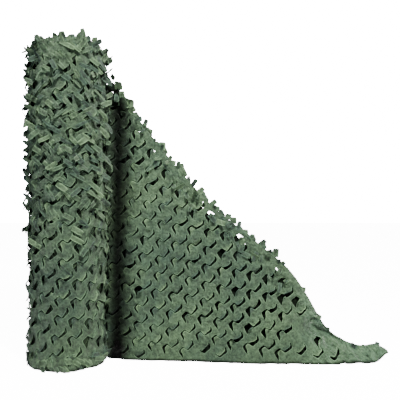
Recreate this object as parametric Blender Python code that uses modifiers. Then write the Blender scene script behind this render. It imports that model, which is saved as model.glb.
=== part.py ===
"""Camouflage netting: an upright roll of slit cloth, with its loose end pulled out to the right.

The cloth is one length, 1.5 m wide, cut all over with S-shaped slits whose tongues curl up. Most of
it is wound into a roll that stands on its end. The loose end leaves the back right of the roll and
stands on its lower edge. Its upper corner has dropped over behind, so the top is a slanting fold.

Metres, +Z up. The origin is the middle of the roll's foot, on the surface that it stands on.
+X runs along the loose end, and +Y points away from its front.
"""

import math
import random

import bmesh
import bpy
import numpy as np

# ---- Driving dimensions -------------------------------------------------------------------------

NET_WIDTH = 1.50            # width of the cloth, which is the height of the roll
CLOTH = 0.003               # thickness of the loose cloth
ROLL_RADIUS = 0.192         # outside of the last turn
TURN_STEP = 0.012           # how much the radius drops where the last turn leaves the roll
LEAVING_ANGLE = math.radians(38.0)   # where the last turn leaves, measured from +X towards +Y
PIECE_GAP = 0.0003          # between the roll and the loose end
FOOT_LIFT = 0.0014          # middle of the cloth at its lower edge, whose lowest corner touches down
MERGE_DISTANCE = 0.00001
ROLL_SEED, RIDGE_SEED, CURL_SEED = 7, 21, 5

# ---- Roll ---------------------------------------------------------------------------------------

ROLL_COLUMNS = 46           # facets round the roll, half a leaf each
ROLL_ROWS = 60              # facets up its side, half a leaf each
LEAF_RELIEF = 0.011         # how far the ruffled leaves stand out of the mean surface
LEAF_TIP = 0.50             # share of the relief at a leaf's tip, give or take all of it
LEAF_CUT = -0.45            # and at the cuts between the leaves
LEAF_SHIFT = 0.005          # how far the leaves' corners wander along the surface
LEAF_DROOP = 0.006          # how far a leaf's tip hangs below its middle
SMOOTH_TURN = (0.84, 0.88)  # from here on the surface is drawn in under the loose end
SMOOTH_DEPTH = 0.6
RIM_TUFT = 0.026            # height of the tufts round the upper rim
END_TURN = 0.075            # coarse spiral step of the turns that show on the upper end

ROLL_PROFILE = (            # slow swell of the roll, up its height
    {"height": 0.00, "swell": 0.000},
    {"height": 0.06, "swell": 0.002},
    {"height": 0.20, "swell": -0.007},
    {"height": 0.45, "swell": -0.002},
    {"height": 0.80, "swell": 0.000},
    {"height": 1.10, "swell": 0.003},
    {"height": 1.35, "swell": 0.002},
    {"height": 1.50, "swell": -0.003},
)

FOOT = (                    # rings of the flat foot, from its middle outwards
    {"reach": 0.00, "height": 0.0},
    {"reach": 0.80, "height": 0.0},
    {"reach": 0.97, "height": 0.0},
)

UPPER_END = (               # rings of the upper end, from the rim inwards
    {"reach": 0.93, "height": NET_WIDTH, "zone": "rim"},
    {"reach": 0.76, "height": NET_WIDTH - 0.016, "zone": "end"},
    {"reach": 0.55, "height": NET_WIDTH - 0.012, "zone": "end"},
    {"reach": 0.33, "height": NET_WIDTH - 0.020, "zone": "end"},
    {"reach": 0.14, "height": NET_WIDTH - 0.024, "zone": "end"},
    {"reach": 0.00, "height": NET_WIDTH - 0.030, "zone": "middle"},
)

# ---- Loose end ----------------------------------------------------------------------------------

HUGGING_RADIUS = ROLL_RADIUS - TURN_STEP + 0.0065    # middle of the cloth where it hugs the roll
HUGGING_ANGLES = (38.0, 29.0, 20.0, 11.0)            # degrees, from where the cloth leaves its turn
HUGGING_RISE = 0.060                                 # how much higher the cloth is at its root
HUGGING_TO_FREE = (0.15, 0.36)                       # lengths between which it comes free of the roll
STEPS_PER_SECTION = 12

# Sections of the loose end, from the roll to the tail: place of its lower front edge (x, front_y),
# the fold on top (ridge_z, ridge_y) and the lower edge of the layer behind (back_y).
SECTIONS = (
    {"x": 0.199, "front_y": 0.014, "ridge_z": 1.370, "ridge_y": 0.016, "back_y": 0.070},
    {"x": 0.250, "front_y": -0.004, "ridge_z": 1.300, "ridge_y": 0.016, "back_y": 0.072},
    {"x": 0.350, "front_y": -0.024, "ridge_z": 1.150, "ridge_y": 0.030, "back_y": 0.076},
    {"x": 0.543, "front_y": -0.036, "ridge_z": 0.910, "ridge_y": 0.046, "back_y": 0.082},
    {"x": 0.700, "front_y": -0.056, "ridge_z": 0.742, "ridge_y": 0.052, "back_y": 0.086},
    {"x": 0.920, "front_y": -0.076, "ridge_z": 0.560, "ridge_y": 0.050, "back_y": 0.084},
    {"x": 1.070, "front_y": -0.079, "ridge_z": 0.435, "ridge_y": 0.044, "back_y": 0.080},
    {"x": 1.160, "front_y": -0.083, "ridge_z": 0.312, "ridge_y": 0.040, "back_y": 0.076},
    {"x": 1.250, "front_y": -0.084, "ridge_z": 0.155, "ridge_y": 0.030, "back_y": 0.072},
    {"x": 1.330, "front_y": -0.082, "ridge_z": 0.088, "ridge_y": 0.020, "back_y": 0.066},
    {"x": 1.420, "front_y": -0.070, "ridge_z": 0.056, "ridge_y": 0.012, "back_y": 0.054},
    {"x": 1.490, "front_y": -0.048, "ridge_z": 0.066, "ridge_y": 0.006, "back_y": 0.042},
    {"x": 1.530, "front_y": -0.024, "ridge_z": 0.040, "ridge_y": 0.004, "back_y": 0.030},
)

FOLD_RADIUS = 0.008         # middle of the cloth round the fold
FOLD_STEPS = 3
BACK_START_X = 0.222        # the layer behind starts here, clear of the roll
TOE_REACH = 0.040           # how far the front's lower edge turns out on to the surface
BACK_TOE = 0.020            # the same behind
TOE_HEIGHT = 0.060          # over which height it turns
TOE_LOSS = 0.0153           # height that the turned edge costs, so that its length stays true
TALL_ENOUGH = 0.45          # a lower fold leaves less of an edge to turn out
FRONT_BOW = 1.3             # over 1, a layer is steeper near the fold; under 1, near its foot
BACK_BOW = 0.9

WAVE_DEPTH = 0.009          # slow waves across the hanging cloth, on a slant
WAVE_LENGTH = 0.46
WAVE_ALONG, WAVE_UP = 0.8, 0.6
BACK_WAVE_SHARE = 0.6
BACK_WAVE_SHIFT = 0.11
CREASE_DEPTH = 0.008        # creases of the uncut border, along the fold
CREASE_PITCH = 0.085
CREASE_ALONG, CREASE_UP = 0.83, 0.55
CREASED_BORDER = (1.015, 1.145)      # lengths between which the creases begin

RIDGE_STEP = 0.036          # spacing of the points along the fold
TUFT_UP = 0.0144            # the leaves that break the line of the fold, above it...
TUFT_DOWN = -0.0096         # ...and below it...
TUFT_SHARE = (0.3, 1.0)     # ...times a chance share between these
TUFTS_END = (0.98, 1.10)    # lengths between which the tufts die out
EDGE_STEP = 0.060           # spacing of the points along the other edges
LONGEST_EDGE = 0.085        # longer edges are halved, so that the cloth can bend...
LONGEST_IN_BORDER = 0.060   # ...and more so in the creased border
HALVINGS = 3

# One slit is a zigzag of five cuts. Its second half is the first half turned about its middle.
HALF_SLIT = (
    {"across": -0.0130, "up": -0.0430, "half_open": 0.0},
    {"across": -0.0350, "up": -0.0115, "half_open": 0.0048},
    {"across": -0.0110, "up": 0.0085, "half_open": 0.0028},
)
ACROSS_STEP = (0.0770, -0.0140)      # from one slit to the next in its row
UP_STEP = (0.0066, 0.0836)           # from one row to the next
FRONT_SLIT_ORIGIN = (0.451, 0.580)   # one slit's middle, along the cloth and up it
BACK_SLIT_ORIGIN = (0.470, 0.560)
WIDE_BAND = (0.08, 0.20)             # slits this near to the fold are pulled wider open
WIDE_FACTOR = 1.7
EDGE_MARGIN = 0.011                  # cloth left between a slit and an edge

# The tongue that each corner of a slit frees on its left and right side, and its share of the curl.
LEFT_TONGUES = ((0, 0.0), (0, 0.0), (2, 0.7), (2, 1.0))
RIGHT_TONGUES = ((1, 1.0), (1, 0.7), (0, 0.0), (0, 0.0))
TONGUE_LIFT = 0.015                  # how far the tongues' tips curl out of the cloth...
CURL_SHARE = (-0.3, 1.0)             # ...times a chance share between these

UNCUT_FROM = 1.045          # the border is uncut beyond this length...
UNCUT_ABOVE = 0.115         # ...and above this height
UNCUT_TAIL_FROM = 1.27      # nothing is cut in the tail

GREEN = (0.105, 0.150, 0.098, 1.0)
DARK_GREEN = (0.085, 0.125, 0.085, 1.0)


# ---- Scene helpers ------------------------------------------------------------------------------

def clear_scene():
    for old in list(bpy.data.objects):
        bpy.data.objects.remove(old, do_unlink=True)


def cloth_material(name, colour):
    material = bpy.data.materials.new(name)
    material.use_nodes = True
    shader = material.node_tree.nodes["Principled BSDF"]
    shader.inputs["Base Color"].default_value = colour
    shader.inputs["Roughness"].default_value = 0.8
    shader.inputs["Metallic"].default_value = 0.0
    return material


def finish_object(bm, name, material, collection):
    """Turn a bmesh into a named object at the origin."""
    mesh = bpy.data.meshes.new(name)
    bm.to_mesh(mesh)
    bm.free()
    obj = bpy.data.objects.new(name, mesh)
    obj.data.materials.append(material)
    collection.objects.link(obj)
    return obj


def smooth_step(value, low, high):
    share = min(max((value - low) / (high - low), 0.0), 1.0)
    return share * share * (3.0 - 2.0 * share)


# ---- Roll ---------------------------------------------------------------------------------------

def roll_swell(height):
    heights = [row["height"] for row in ROLL_PROFILE]
    swells = [row["swell"] for row in ROLL_PROFILE]
    return float(np.interp(height, heights, swells))


def roll_radius(turn, height):
    """Mean radius, where turn runs from 0 at the step, once round, to 1."""
    return ROLL_RADIUS - TURN_STEP * turn + roll_swell(height) * math.sin(math.pi * turn)


def roll_rows():
    """Profile of the roll from the middle of its foot to the middle of its upper end."""
    rows = [dict(ring, zone="foot") for ring in FOOT]
    spacing = NET_WIDTH / ROLL_ROWS
    for number in range(1, ROLL_ROWS):
        rows.append({"reach": 1.0, "height": spacing * number, "zone": "side"})
    return rows + list(UPPER_END)


def leaf_relief(row, column, chance):
    """Ruffled leaves in staggered rows: the tips stand out, and the cuts between them lie deep."""
    if (row + column) % 2:
        return LEAF_CUT * (1.0 - chance)
    return LEAF_TIP * (1.0 + chance)


def build_roll(material, collection):
    """A grid wrapped round the roll, whose last column closes the step of the last turn."""
    rows = roll_rows()
    dice = random.Random(ROLL_SEED)
    bm = bmesh.new()
    bmesh.ops.create_grid(bm, x_segments=ROLL_COLUMNS + 1, y_segments=len(rows) - 1, size=0.5)
    bm.verts.ensure_lookup_table()
    for number, row in enumerate(rows):
        for column in range(ROLL_COLUMNS + 2):
            bulge, along, rise = (dice.uniform(-1.0, 1.0) for _ in range(3))
            turn = (column % (ROLL_COLUMNS + 1)) / ROLL_COLUMNS
            angle = LEAVING_ANGLE + 2.0 * math.pi * turn
            height = row["height"]
            radius = roll_radius(turn, height) * row["reach"]
            at_step = column in (0, ROLL_COLUMNS, ROLL_COLUMNS + 1)
            if row["zone"] == "side" and not at_step:
                leaf = leaf_relief(number, column, bulge)
                smooth = smooth_step(turn, *SMOOTH_TURN)
                radius += LEAF_RELIEF * (leaf * (1.0 - smooth) - SMOOTH_DEPTH * smooth)
                angle += LEAF_SHIFT * along / radius
                height += LEAF_SHIFT * rise - LEAF_DROOP * max(leaf, 0.0)
            elif row["zone"] == "rim" and not at_step:
                height += RIM_TUFT * abs(rise)
            elif row["zone"] == "end" and not at_step:
                height += LEAF_RELIEF * math.cos(angle + 2.0 * math.pi * radius / END_TURN)
            vert = bm.verts[number * (ROLL_COLUMNS + 2) + column]
            vert.co = (radius * math.cos(angle), radius * math.sin(angle), height)
    bmesh.ops.remove_doubles(bm, verts=bm.verts, dist=MERGE_DISTANCE)
    bmesh.ops.recalc_face_normals(bm, faces=bm.faces)
    bmesh.ops.triangulate(bm, faces=bm.faces)
    return finish_object(bm, "roll", material, collection)


# ---- Loose end: the drape -----------------------------------------------------------------------

def all_sections():
    """The hand-set sections, after a few that hug the roll."""
    rows = []
    for degrees in HUGGING_ANGLES:
        x = HUGGING_RADIUS * math.cos(math.radians(degrees))
        y = HUGGING_RADIUS * math.sin(math.radians(degrees))
        ridge_z = SECTIONS[0]["ridge_z"] + HUGGING_RISE * degrees / HUGGING_ANGLES[0]
        rows.append({"x": x, "front_y": y, "ridge_z": ridge_z, "ridge_y": y, "back_y": y})
    return rows + list(SECTIONS)


def smooth_column(values):
    """Catmull-Rom curve through the values, read at even steps."""
    padded = [2 * values[0] - values[1]] + list(values) + [2 * values[-1] - values[-2]]
    curve = []
    for span in range(len(values) - 1):
        before, start, end, after = padded[span:span + 4]
        for step in range(STEPS_PER_SECTION):
            t = step / STEPS_PER_SECTION
            curve.append(0.5 * (2 * start + (end - before) * t
                                + (2 * before - 5 * start + 4 * end - after) * t ** 2
                                + (3 * start - before - 3 * end + after) * t ** 3))
    curve.append(values[-1])
    return np.array(curve)


def drape_table():
    """Every section column as a smooth curve over the length along the cloth."""
    rows = all_sections()
    table = {name: smooth_column([row[name] for row in rows]) for name in rows[0]}
    steps = np.hypot(np.diff(table["x"]), np.diff(table["front_y"]))
    table["along"] = np.concatenate(([0.0], np.cumsum(steps)))
    return table


DRAPE = drape_table()
LENGTH = float(DRAPE["along"][-1])


def section_value(name, along):
    return float(np.interp(along, DRAPE["along"], DRAPE[name]))


def along_at_x(x):
    return float(np.interp(x, DRAPE["x"], DRAPE["along"]))


def height_of(up):
    """Height above the surface for a distance up the cloth, less what the turned edge takes."""
    return FOOT_LIFT + up - TOE_LOSS * (1.0 - math.exp(-up / TOE_HEIGHT))


def ridge_up(along):
    """Distance up the cloth to the fold."""
    return section_value("ridge_z", along) + TOE_LOSS - FOLD_RADIUS


def waves(along, up, top):
    """Slow waves over all of it, and closer creases in the uncut border."""
    share = min(max(up / top, 0.0), 1.0)
    free = smooth_step(along, *HUGGING_TO_FREE) * math.sin(math.pi * share)
    wave_phase = (WAVE_ALONG * along + WAVE_UP * up) / WAVE_LENGTH
    crease_phase = (CREASE_ALONG * along + CREASE_UP * up) / CREASE_PITCH
    border = smooth_step(along, *CREASED_BORDER)
    return free * (WAVE_DEPTH * math.sin(2.0 * math.pi * wave_phase)
                   + CREASE_DEPTH * border * math.sin(2.0 * math.pi * crease_phase))


def lean(along, up, foot_name, toe, fold_shift, bow):
    """How far back (+Y) a point lies: from the foot, turned out by the toe, up to the fold."""
    foot = section_value(foot_name, along) + toe
    ridge = section_value("ridge_y", along) + fold_shift
    rest = max(1.0 - up / ridge_up(along), 0.0)
    return ridge + (foot - ridge) * rest ** bow - toe * math.exp(-up / TOE_HEIGHT)


def front_place(along, up):
    """Place of a point of the front layer."""
    top = ridge_up(along)
    toe = TOE_REACH * smooth_step(along, *HUGGING_TO_FREE) * smooth_step(top, 0.0, TALL_ENOUGH)
    y = lean(along, up, "front_y", toe, 0.0, FRONT_BOW) + waves(along, up, top)
    return section_value("x", along), y, height_of(up)


def back_place(along, up):
    """Place of a point of the layer that hangs behind."""
    top = ridge_up(along)
    toe = -BACK_TOE * smooth_step(top, 0.0, TALL_ENOUGH)
    y = lean(along, up, "back_y", toe, 2.0 * FOLD_RADIUS, BACK_BOW)
    y += BACK_WAVE_SHARE * waves(along + BACK_WAVE_SHIFT, up, top)
    return section_value("x", along), y, height_of(up)


def drape(bm):
    """Take the cloth from its flat layout (along, layer, up) to the way it stands."""
    apart = 2.0 * FOLD_RADIUS
    for vert in bm.verts:
        along, layer, up = vert.co
        behind = min(max(layer / apart, 0.0), 1.0)
        front = front_place(along, up)
        back = back_place(along, up)
        x, y, z = (f + (b - f) * behind for f, b in zip(front, back))
        vert.co = (x, y + layer - behind * apart, z)


# ---- Loose end: the cut cloth -------------------------------------------------------------------

def slit_corners(middle, widen):
    """The corners of one slit's zigzag, each with its half opening."""
    first = [(row["across"], row["up"], row["half_open"] * widen) for row in HALF_SLIT]
    second = [(-across, -up, half_open) for across, up, half_open in reversed(first)]
    return [(middle[0] + across, middle[1] + up, half_open) for across, up, half_open in first + second]


def slit_outline(corners):
    """Closed outline of a slit as rows of (along, up, tongue, share of the tongue's lift)."""
    left, right = [], []
    for before, here, after in zip(corners, corners[1:], corners[2:]):
        run = np.array(after[:2]) - np.array(before[:2])
        side = np.array((-run[1], run[0])) / np.hypot(*run)
        left.append(np.array(here[:2]) + side * here[2])
        right.append(np.array(here[:2]) - side * here[2])
    whole = len(corners) == 2 * len(HALF_SLIT)
    left_tongues = LEFT_TONGUES if whole else LEFT_TONGUES[:2]
    outline = [(*corners[0][:2], 0, 0.0)]
    outline += [(*point, *tongue) for point, tongue in zip(left, left_tongues)]
    outline += [(*corners[-1][:2], 0, 0.0)]
    outline += reversed([(*point, *tongue) for point, tongue in zip(right, RIGHT_TONGUES)])
    return outline


def is_uncut(along, up):
    return along > UNCUT_TAIL_FROM or (along > UNCUT_FROM and up > UNCUT_ABOVE)


def slit_fits(outline, first_along, ridge):
    for along, up, _tongue, _share in outline:
        if along < first_along + EDGE_MARGIN or up < EDGE_MARGIN:
            return False
        if up > float(np.interp(along, *ridge)) - EDGE_MARGIN or is_uncut(along, up):
            return False
    return True


def all_slits(origin, first_along, ridge):
    """The slits between the edges of one layer: whole, or one hook where only that fits."""
    reach = math.ceil(NET_WIDTH / UP_STEP[1])
    found = []
    for column in range(-reach, reach):
        for row in range(-reach, reach):
            middle = (origin[0] + column * ACROSS_STEP[0] + row * UP_STEP[0],
                      origin[1] + column * ACROSS_STEP[1] + row * UP_STEP[1])
            below_fold = float(np.interp(middle[0], *ridge)) - middle[1]
            near_fold = 1.0 - smooth_step(below_fold, *WIDE_BAND)
            corners = slit_corners(middle, 1.0 + (WIDE_FACTOR - 1.0) * near_fold)
            for part in (corners, corners[:4], corners[:1:-1]):
                outline = slit_outline(part)
                if slit_fits(outline, first_along, ridge):
                    found.append(outline)
                    break
    return found


def ridge_points(first_along):
    """Points along the fold, from the roll to the tail, with tufts of leaves as far as the border."""
    dice = random.Random(RIDGE_SEED)
    count = round((LENGTH - first_along) / RIDGE_STEP)
    alongs = [first_along + (LENGTH - first_along) * n / count for n in range(count + 1)]
    ups = []
    for number, along in enumerate(alongs):
        side = TUFT_UP if number % 2 else TUFT_DOWN
        tuft = side * dice.uniform(*TUFT_SHARE) * (1.0 - smooth_step(along, *TUFTS_END))
        ups.append(ridge_up(along) + tuft)
    return alongs, ups


def even_steps(start, end):
    """Values from start up to, but not including, end."""
    count = max(1, round(abs(end - start) / EDGE_STEP))
    return [start + (end - start) * n / count for n in range(count)]


def fill_layer(bm, outline, slits, layer, facing):
    """Fill one flat layer between its outline and its slits, and note how far its tongues curl."""
    lift = bm.verts.layers.float["lift"]
    dice = random.Random(CURL_SEED)
    edges = []
    for loop in [[(along, up, 0, 0.0) for along, up in outline]] + slits:
        curls = (0.0, dice.uniform(*CURL_SHARE), dice.uniform(*CURL_SHARE))
        verts = []
        for along, up, tongue, share in loop:
            vert = bm.verts.new((along, layer, up))
            vert[lift] = curls[tongue] * share * TONGUE_LIFT
            verts.append(vert)
        edges += [bm.edges.new(pair) for pair in zip(verts, verts[1:] + verts[:1])]
    bmesh.ops.triangle_fill(bm, edges=edges, use_beauty=True, normal=(0.0, facing, 0.0))


def longest_edge(edge):
    along = 0.5 * (edge.verts[0].co.x + edge.verts[1].co.x)
    return LONGEST_EDGE if along < UNCUT_FROM else LONGEST_IN_BORDER


def halve_long_edges(bm):
    """Halve the long inner edges until every face can follow the drape."""
    for _ in range(HALVINGS):
        inner = [edge for edge in bm.edges if len(edge.link_faces) == 2]
        too_long = [edge for edge in inner if edge.calc_length() > longest_edge(edge)]
        bmesh.ops.subdivide_edges(bm, edges=too_long, cuts=1)
        bmesh.ops.triangulate(bm, faces=[face for face in bm.faces if len(face.verts) > 3])
        bmesh.ops.beautify_fill(bm, faces=bm.faces, edges=bm.edges, method="ANGLE")


def front_layer(bm, ridge, back_start):
    """The layer that shows, from the roll to the tail."""
    root_alongs = even_steps(0.0, back_start)
    root_ups = [ridge_up(along) for along in root_alongs]
    upper_edge = (root_alongs + ridge[0], root_ups + ridge[1])
    outline = [(along, 0.0) for along in even_steps(PIECE_GAP, LENGTH)] + [(LENGTH, 0.0)]
    outline += reversed(list(zip(*ridge)))
    outline += reversed(list(zip(root_alongs[1:], root_ups[1:])))
    outline += [(PIECE_GAP, up) for up in even_steps(root_ups[0], 0.0)]
    fill_layer(bm, outline, all_slits(FRONT_SLIT_ORIGIN, 0.0, upper_edge), 0.0, -1.0)
    halve_long_edges(bm)


def back_layer(bm, ridge, back_start):
    """The layer that hangs behind, which ends short of the roll."""
    outline = [(along, 0.0) for along in even_steps(back_start, LENGTH)] + [(LENGTH, 0.0)]
    outline += reversed(list(zip(*ridge)))
    outline += [(back_start, up) for up in even_steps(ridge[1][0], 0.0)[1:]]
    slits = all_slits(BACK_SLIT_ORIGIN, back_start, ridge)
    fill_layer(bm, outline, slits, 2.0 * FOLD_RADIUS, 1.0)
    halve_long_edges(bm)


def fold_over(bm, ridge):
    """Carry the front layer's upper edge over half a turn, to where the back layer starts."""
    folded = [edge for edge in bm.edges if edge.is_boundary
              and all(is_on_ridge(vert.co, ridge) for vert in edge.verts)]
    for step in range(FOLD_STEPS):
        before = math.pi * step / FOLD_STEPS
        now = math.pi * (step + 1) / FOLD_STEPS
        grown = bmesh.ops.extrude_edge_only(bm, edges=folded)["geom"]
        folded = [item for item in grown if isinstance(item, bmesh.types.BMEdge)]
        moved = [item for item in grown if isinstance(item, bmesh.types.BMVert)]
        shift = (0.0, FOLD_RADIUS * (math.cos(before) - math.cos(now)),
                 FOLD_RADIUS * (math.sin(now) - math.sin(before)))
        bmesh.ops.translate(bm, verts=moved, vec=shift)


def is_on_ridge(place, ridge):
    if place.x < ridge[0][0] - MERGE_DISTANCE:
        return False
    return abs(place.z - float(np.interp(place.x, *ridge))) < MERGE_DISTANCE


def add_layer(bm, other):
    """Add one bmesh's geometry to another."""
    carried = bpy.data.meshes.new("carried")
    other.to_mesh(carried)
    other.free()
    bm.from_mesh(carried)
    bpy.data.meshes.remove(carried)


def curl_tongues(bm):
    """Move the tongues out of their layer: to the front in front, to the back behind."""
    lift = bm.verts.layers.float["lift"]
    for vert in bm.verts:
        vert.co.y += vert[lift] if vert.co.y > FOLD_RADIUS else -vert[lift]


def build_loose_end(material, collection):
    """Cut both layers flat, join them round the fold, drape them and give them their thickness."""
    back_start = along_at_x(BACK_START_X)
    ridge = ridge_points(back_start)
    bm = bmesh.new()
    bm.verts.layers.float.new("lift")
    front_layer(bm, ridge, back_start)
    fold_over(bm, ridge)
    behind = bmesh.new()
    behind.verts.layers.float.new("lift")
    back_layer(behind, ridge, back_start)
    add_layer(bm, behind)
    bmesh.ops.remove_doubles(bm, verts=bm.verts, dist=MERGE_DISTANCE)
    curl_tongues(bm)
    drape(bm)
    bmesh.ops.recalc_face_normals(bm, faces=bm.faces)
    obj = finish_object(bm, "loose_end", material, collection)
    solid = obj.modifiers.new("Cloth", "SOLIDIFY")
    solid.thickness = CLOTH
    solid.offset = 0.0
    return obj


def main():
    clear_scene()
    collection = bpy.data.collections.new("Camouflage netting")
    bpy.context.scene.collection.children.link(collection)
    build_roll(cloth_material("rolled netting", DARK_GREEN), collection)
    build_loose_end(cloth_material("loose netting", GREEN), collection)


main()
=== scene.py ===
"""Camouflage netting: an upright roll of leaf-cut cloth, with its loose end pulled out to the right.

The cloth is cut flat, slit by slit, as the real one is. Its tongues are then bent, and the flat cloth
is laid round the roll, or draped as the loose end stands. Metres, +Z up, in the frame of the CAD.
"""

import functools
import math
import random

import bmesh
import bpy
import numpy as np
from bpy.props import FloatProperty, FloatVectorProperty, IntProperty, PointerProperty
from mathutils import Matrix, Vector, noise


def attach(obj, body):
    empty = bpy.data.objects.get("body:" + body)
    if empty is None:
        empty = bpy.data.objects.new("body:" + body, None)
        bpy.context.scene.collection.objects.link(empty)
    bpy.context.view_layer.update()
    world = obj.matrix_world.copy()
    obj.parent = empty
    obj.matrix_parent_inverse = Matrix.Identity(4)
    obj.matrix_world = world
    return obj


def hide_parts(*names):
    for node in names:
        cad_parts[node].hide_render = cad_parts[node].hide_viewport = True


bl_info = {
    "name": "Camouflage Netting Roll",
    "version": (1, 0, 0),
    "blender": (4, 5, 0),
    "location": "View3D > Sidebar > Netting",
    "description": "Builds a roll of leaf-cut netting with its loose end pulled out",
    "category": "Add Mesh",
}

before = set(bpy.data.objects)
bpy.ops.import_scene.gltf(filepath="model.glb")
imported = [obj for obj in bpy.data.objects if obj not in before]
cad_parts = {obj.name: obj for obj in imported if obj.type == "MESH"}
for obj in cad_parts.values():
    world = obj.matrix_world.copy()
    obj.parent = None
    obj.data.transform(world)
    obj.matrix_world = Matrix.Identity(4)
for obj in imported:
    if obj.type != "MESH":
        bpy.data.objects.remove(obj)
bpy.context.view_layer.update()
NET_WIDTH = 1.50            # width of the cloth, which is the height of the roll
MERGE_DISTANCE = 0.00001

# ---- The cut ------------------------------------------------------------------------------------

# One slit is a zigzag of five cuts through six corners. The gap is how far the tongue has drawn back
# from the corner, and the rounding is where the corner starts to turn.
SLIT = (
    {"across": -0.0140, "up": -0.0490, "gap": (0.0000, 0.0000), "rounding": 0.000},
    {"across": -0.0360, "up": -0.0115, "gap": (0.0095, 0.0040), "rounding": 0.007},
    {"across": -0.0120, "up": 0.0090, "gap": (0.0010, -0.0018), "rounding": 0.005},
    {"across": 0.0130, "up": -0.0090, "gap": (-0.0006, 0.0018), "rounding": 0.005},
    {"across": 0.0460, "up": 0.0170, "gap": (-0.0070, 0.0050), "rounding": 0.007},
    {"across": 0.0370, "up": 0.0420, "gap": (0.0000, 0.0000), "rounding": 0.000},
)
LONGEST_CUT_STEP = 0.010
NEAR_END_GAP = 0.75                  # gap halfway along an end cut, against that at its corner
HALF_CUT = 0.0017                    # half the width of the cut itself
LIP = 0.0045                         # width of the curled lip along each cut edge
ACROSS_STEP = (0.0770, -0.0140)      # from one slit to the next in its row
UP_STEP = (0.0066, 0.0836)           # from one row to the next
SLIT_REACH = 0.060                   # no point of a slit is further from its middle
SLIT_TURN, SLIT_SIZE = 0.14, (0.90, 1.04)
WARP, WARP_SCALE = 0.010, 0.20       # how far the rows wander
EDGE_MARGIN = 0.008                  # cloth left between a slit's lip and an edge
TWIST = 0.9                          # how unevenly a tongue curls from one side to the other
OUTER_LIP, TONGUE_LIP = 0.0016, 0.0030
HALVINGS = (0.050, 0.030, 0.018)     # edges over these lengths are halved, in turn
SMOOTH_ROUNDS = 3
THREAD_PITCH = 0.0011
LEAST_BEND = 0.01                    # radians a metre, below which a tongue counts as bent this much
TONE_FADE = 0.02                     # distance from its base over which a tongue takes its own tone
DENT_SHARE, DENT_REACH = 0.10, 0.012     # how the cloth beyond a tongue's tip sinks as it curls

# ---- The roll -----------------------------------------------------------------------------------

LEAVING_ANGLE = math.radians(38.0)   # where the last turn leaves the roll, from +X towards +Y
ROLL_PROFILE = (                     # slow swell of the roll, up its height
    {"height": 0.00, "swell": 0.006},
    {"height": 0.06, "swell": 0.004},
    {"height": 0.20, "swell": -0.007},
    {"height": 0.45, "swell": -0.002},
    {"height": 0.80, "swell": 0.000},
    {"height": 1.10, "swell": 0.003},
    {"height": 1.35, "swell": 0.002},
    {"height": 1.50, "swell": -0.006},
)

ROLL_RUFFLE = 5                      # seed of the ruffles, the same for each turn
ROLL_RUFFLES = ((0.010, 0.055), (0.009, 0.028))      # depth and pitch of each
RIM_RUFFLE, RIM_FROM, RIM_TO = (0.018, 0.03), -0.05, 0.02
ROLL_WIDEN = 1.5                     # how much wider the cuts of the roll stand open
TURN_START, TURN_OVERLAP = -0.012, 0.004
TURN_LEVEL, TURN_RISE = 0.002, 0.030     # the ragged upper edge of a turn, above the cloth's width
RAGGED_WIDE, RAGGED_TALL, RAGGED_LEAN = (0.020, 0.042), (0.25, 1.0), (0.3, 0.7)
OUTER_TURN = {"first_turn": 0.0, "origin": (0.020, 0.040), "seed": 5, "halvings": HALVINGS}
UNDER_TURN = {"first_turn": 1.0, "origin": (0.058, 0.005), "seed": 8, "halvings": HALVINGS[:2]}
CORE_TURNS, CORE_SEGMENTS, CORE_CUTS = 2.2, 72, 70
CORE_DROP, CORE_LIFT, CORE_CAP_RINGS, CORE_CAP_SHARE = 0.075, 0.0005, 4, 0.8
CORE_RUFFLE = (0.004, 0.035)
UPPER = {"turns_in": 1.6, "inner": 0.012, "columns": 44, "rows": 4, "drop": 0.080, "rise": 0.062,
         "tips": 0.026, "start": 0.3, "sway": 0.7, "sway_pitch": 0.03}

# ---- The loose end ------------------------------------------------------------------------------

HUGGING_RADIUS = 0.1865              # middle of the cloth where it hugs the roll
HUGGING_ANGLES = (38.0, 29.0, 20.0, 11.0)
HUGGING_RISE = 0.060                 # how much higher the cloth is at its root
HUGGING_TO_FREE = (0.15, 0.36)       # lengths between which it comes free of the roll
STEPS_PER_SECTION = 12

# Sections of the loose end, from the roll to the tail: place of its lower front edge (x, front_y),
# the fold on top (ridge_z, ridge_y) and the lower edge of the layer behind (back_y).
SECTIONS = (
    {"x": 0.199, "front_y": 0.014, "ridge_z": 1.370, "ridge_y": 0.016, "back_y": 0.070},
    {"x": 0.250, "front_y": -0.004, "ridge_z": 1.300, "ridge_y": 0.016, "back_y": 0.072},
    {"x": 0.350, "front_y": -0.024, "ridge_z": 1.150, "ridge_y": 0.030, "back_y": 0.076},
    {"x": 0.543, "front_y": -0.036, "ridge_z": 0.910, "ridge_y": 0.046, "back_y": 0.082},
    {"x": 0.700, "front_y": -0.056, "ridge_z": 0.742, "ridge_y": 0.052, "back_y": 0.086},
    {"x": 0.920, "front_y": -0.076, "ridge_z": 0.560, "ridge_y": 0.050, "back_y": 0.084},
    {"x": 1.070, "front_y": -0.079, "ridge_z": 0.435, "ridge_y": 0.044, "back_y": 0.080},
    {"x": 1.160, "front_y": -0.083, "ridge_z": 0.312, "ridge_y": 0.040, "back_y": 0.076},
    {"x": 1.250, "front_y": -0.084, "ridge_z": 0.155, "ridge_y": 0.030, "back_y": 0.072},
    {"x": 1.330, "front_y": -0.082, "ridge_z": 0.088, "ridge_y": 0.020, "back_y": 0.066},
    {"x": 1.420, "front_y": -0.070, "ridge_z": 0.056, "ridge_y": 0.012, "back_y": 0.054},
    {"x": 1.490, "front_y": -0.048, "ridge_z": 0.066, "ridge_y": 0.006, "back_y": 0.042},
    {"x": 1.542, "front_y": -0.024, "ridge_z": 0.040, "ridge_y": 0.004, "back_y": 0.030},
)

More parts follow.
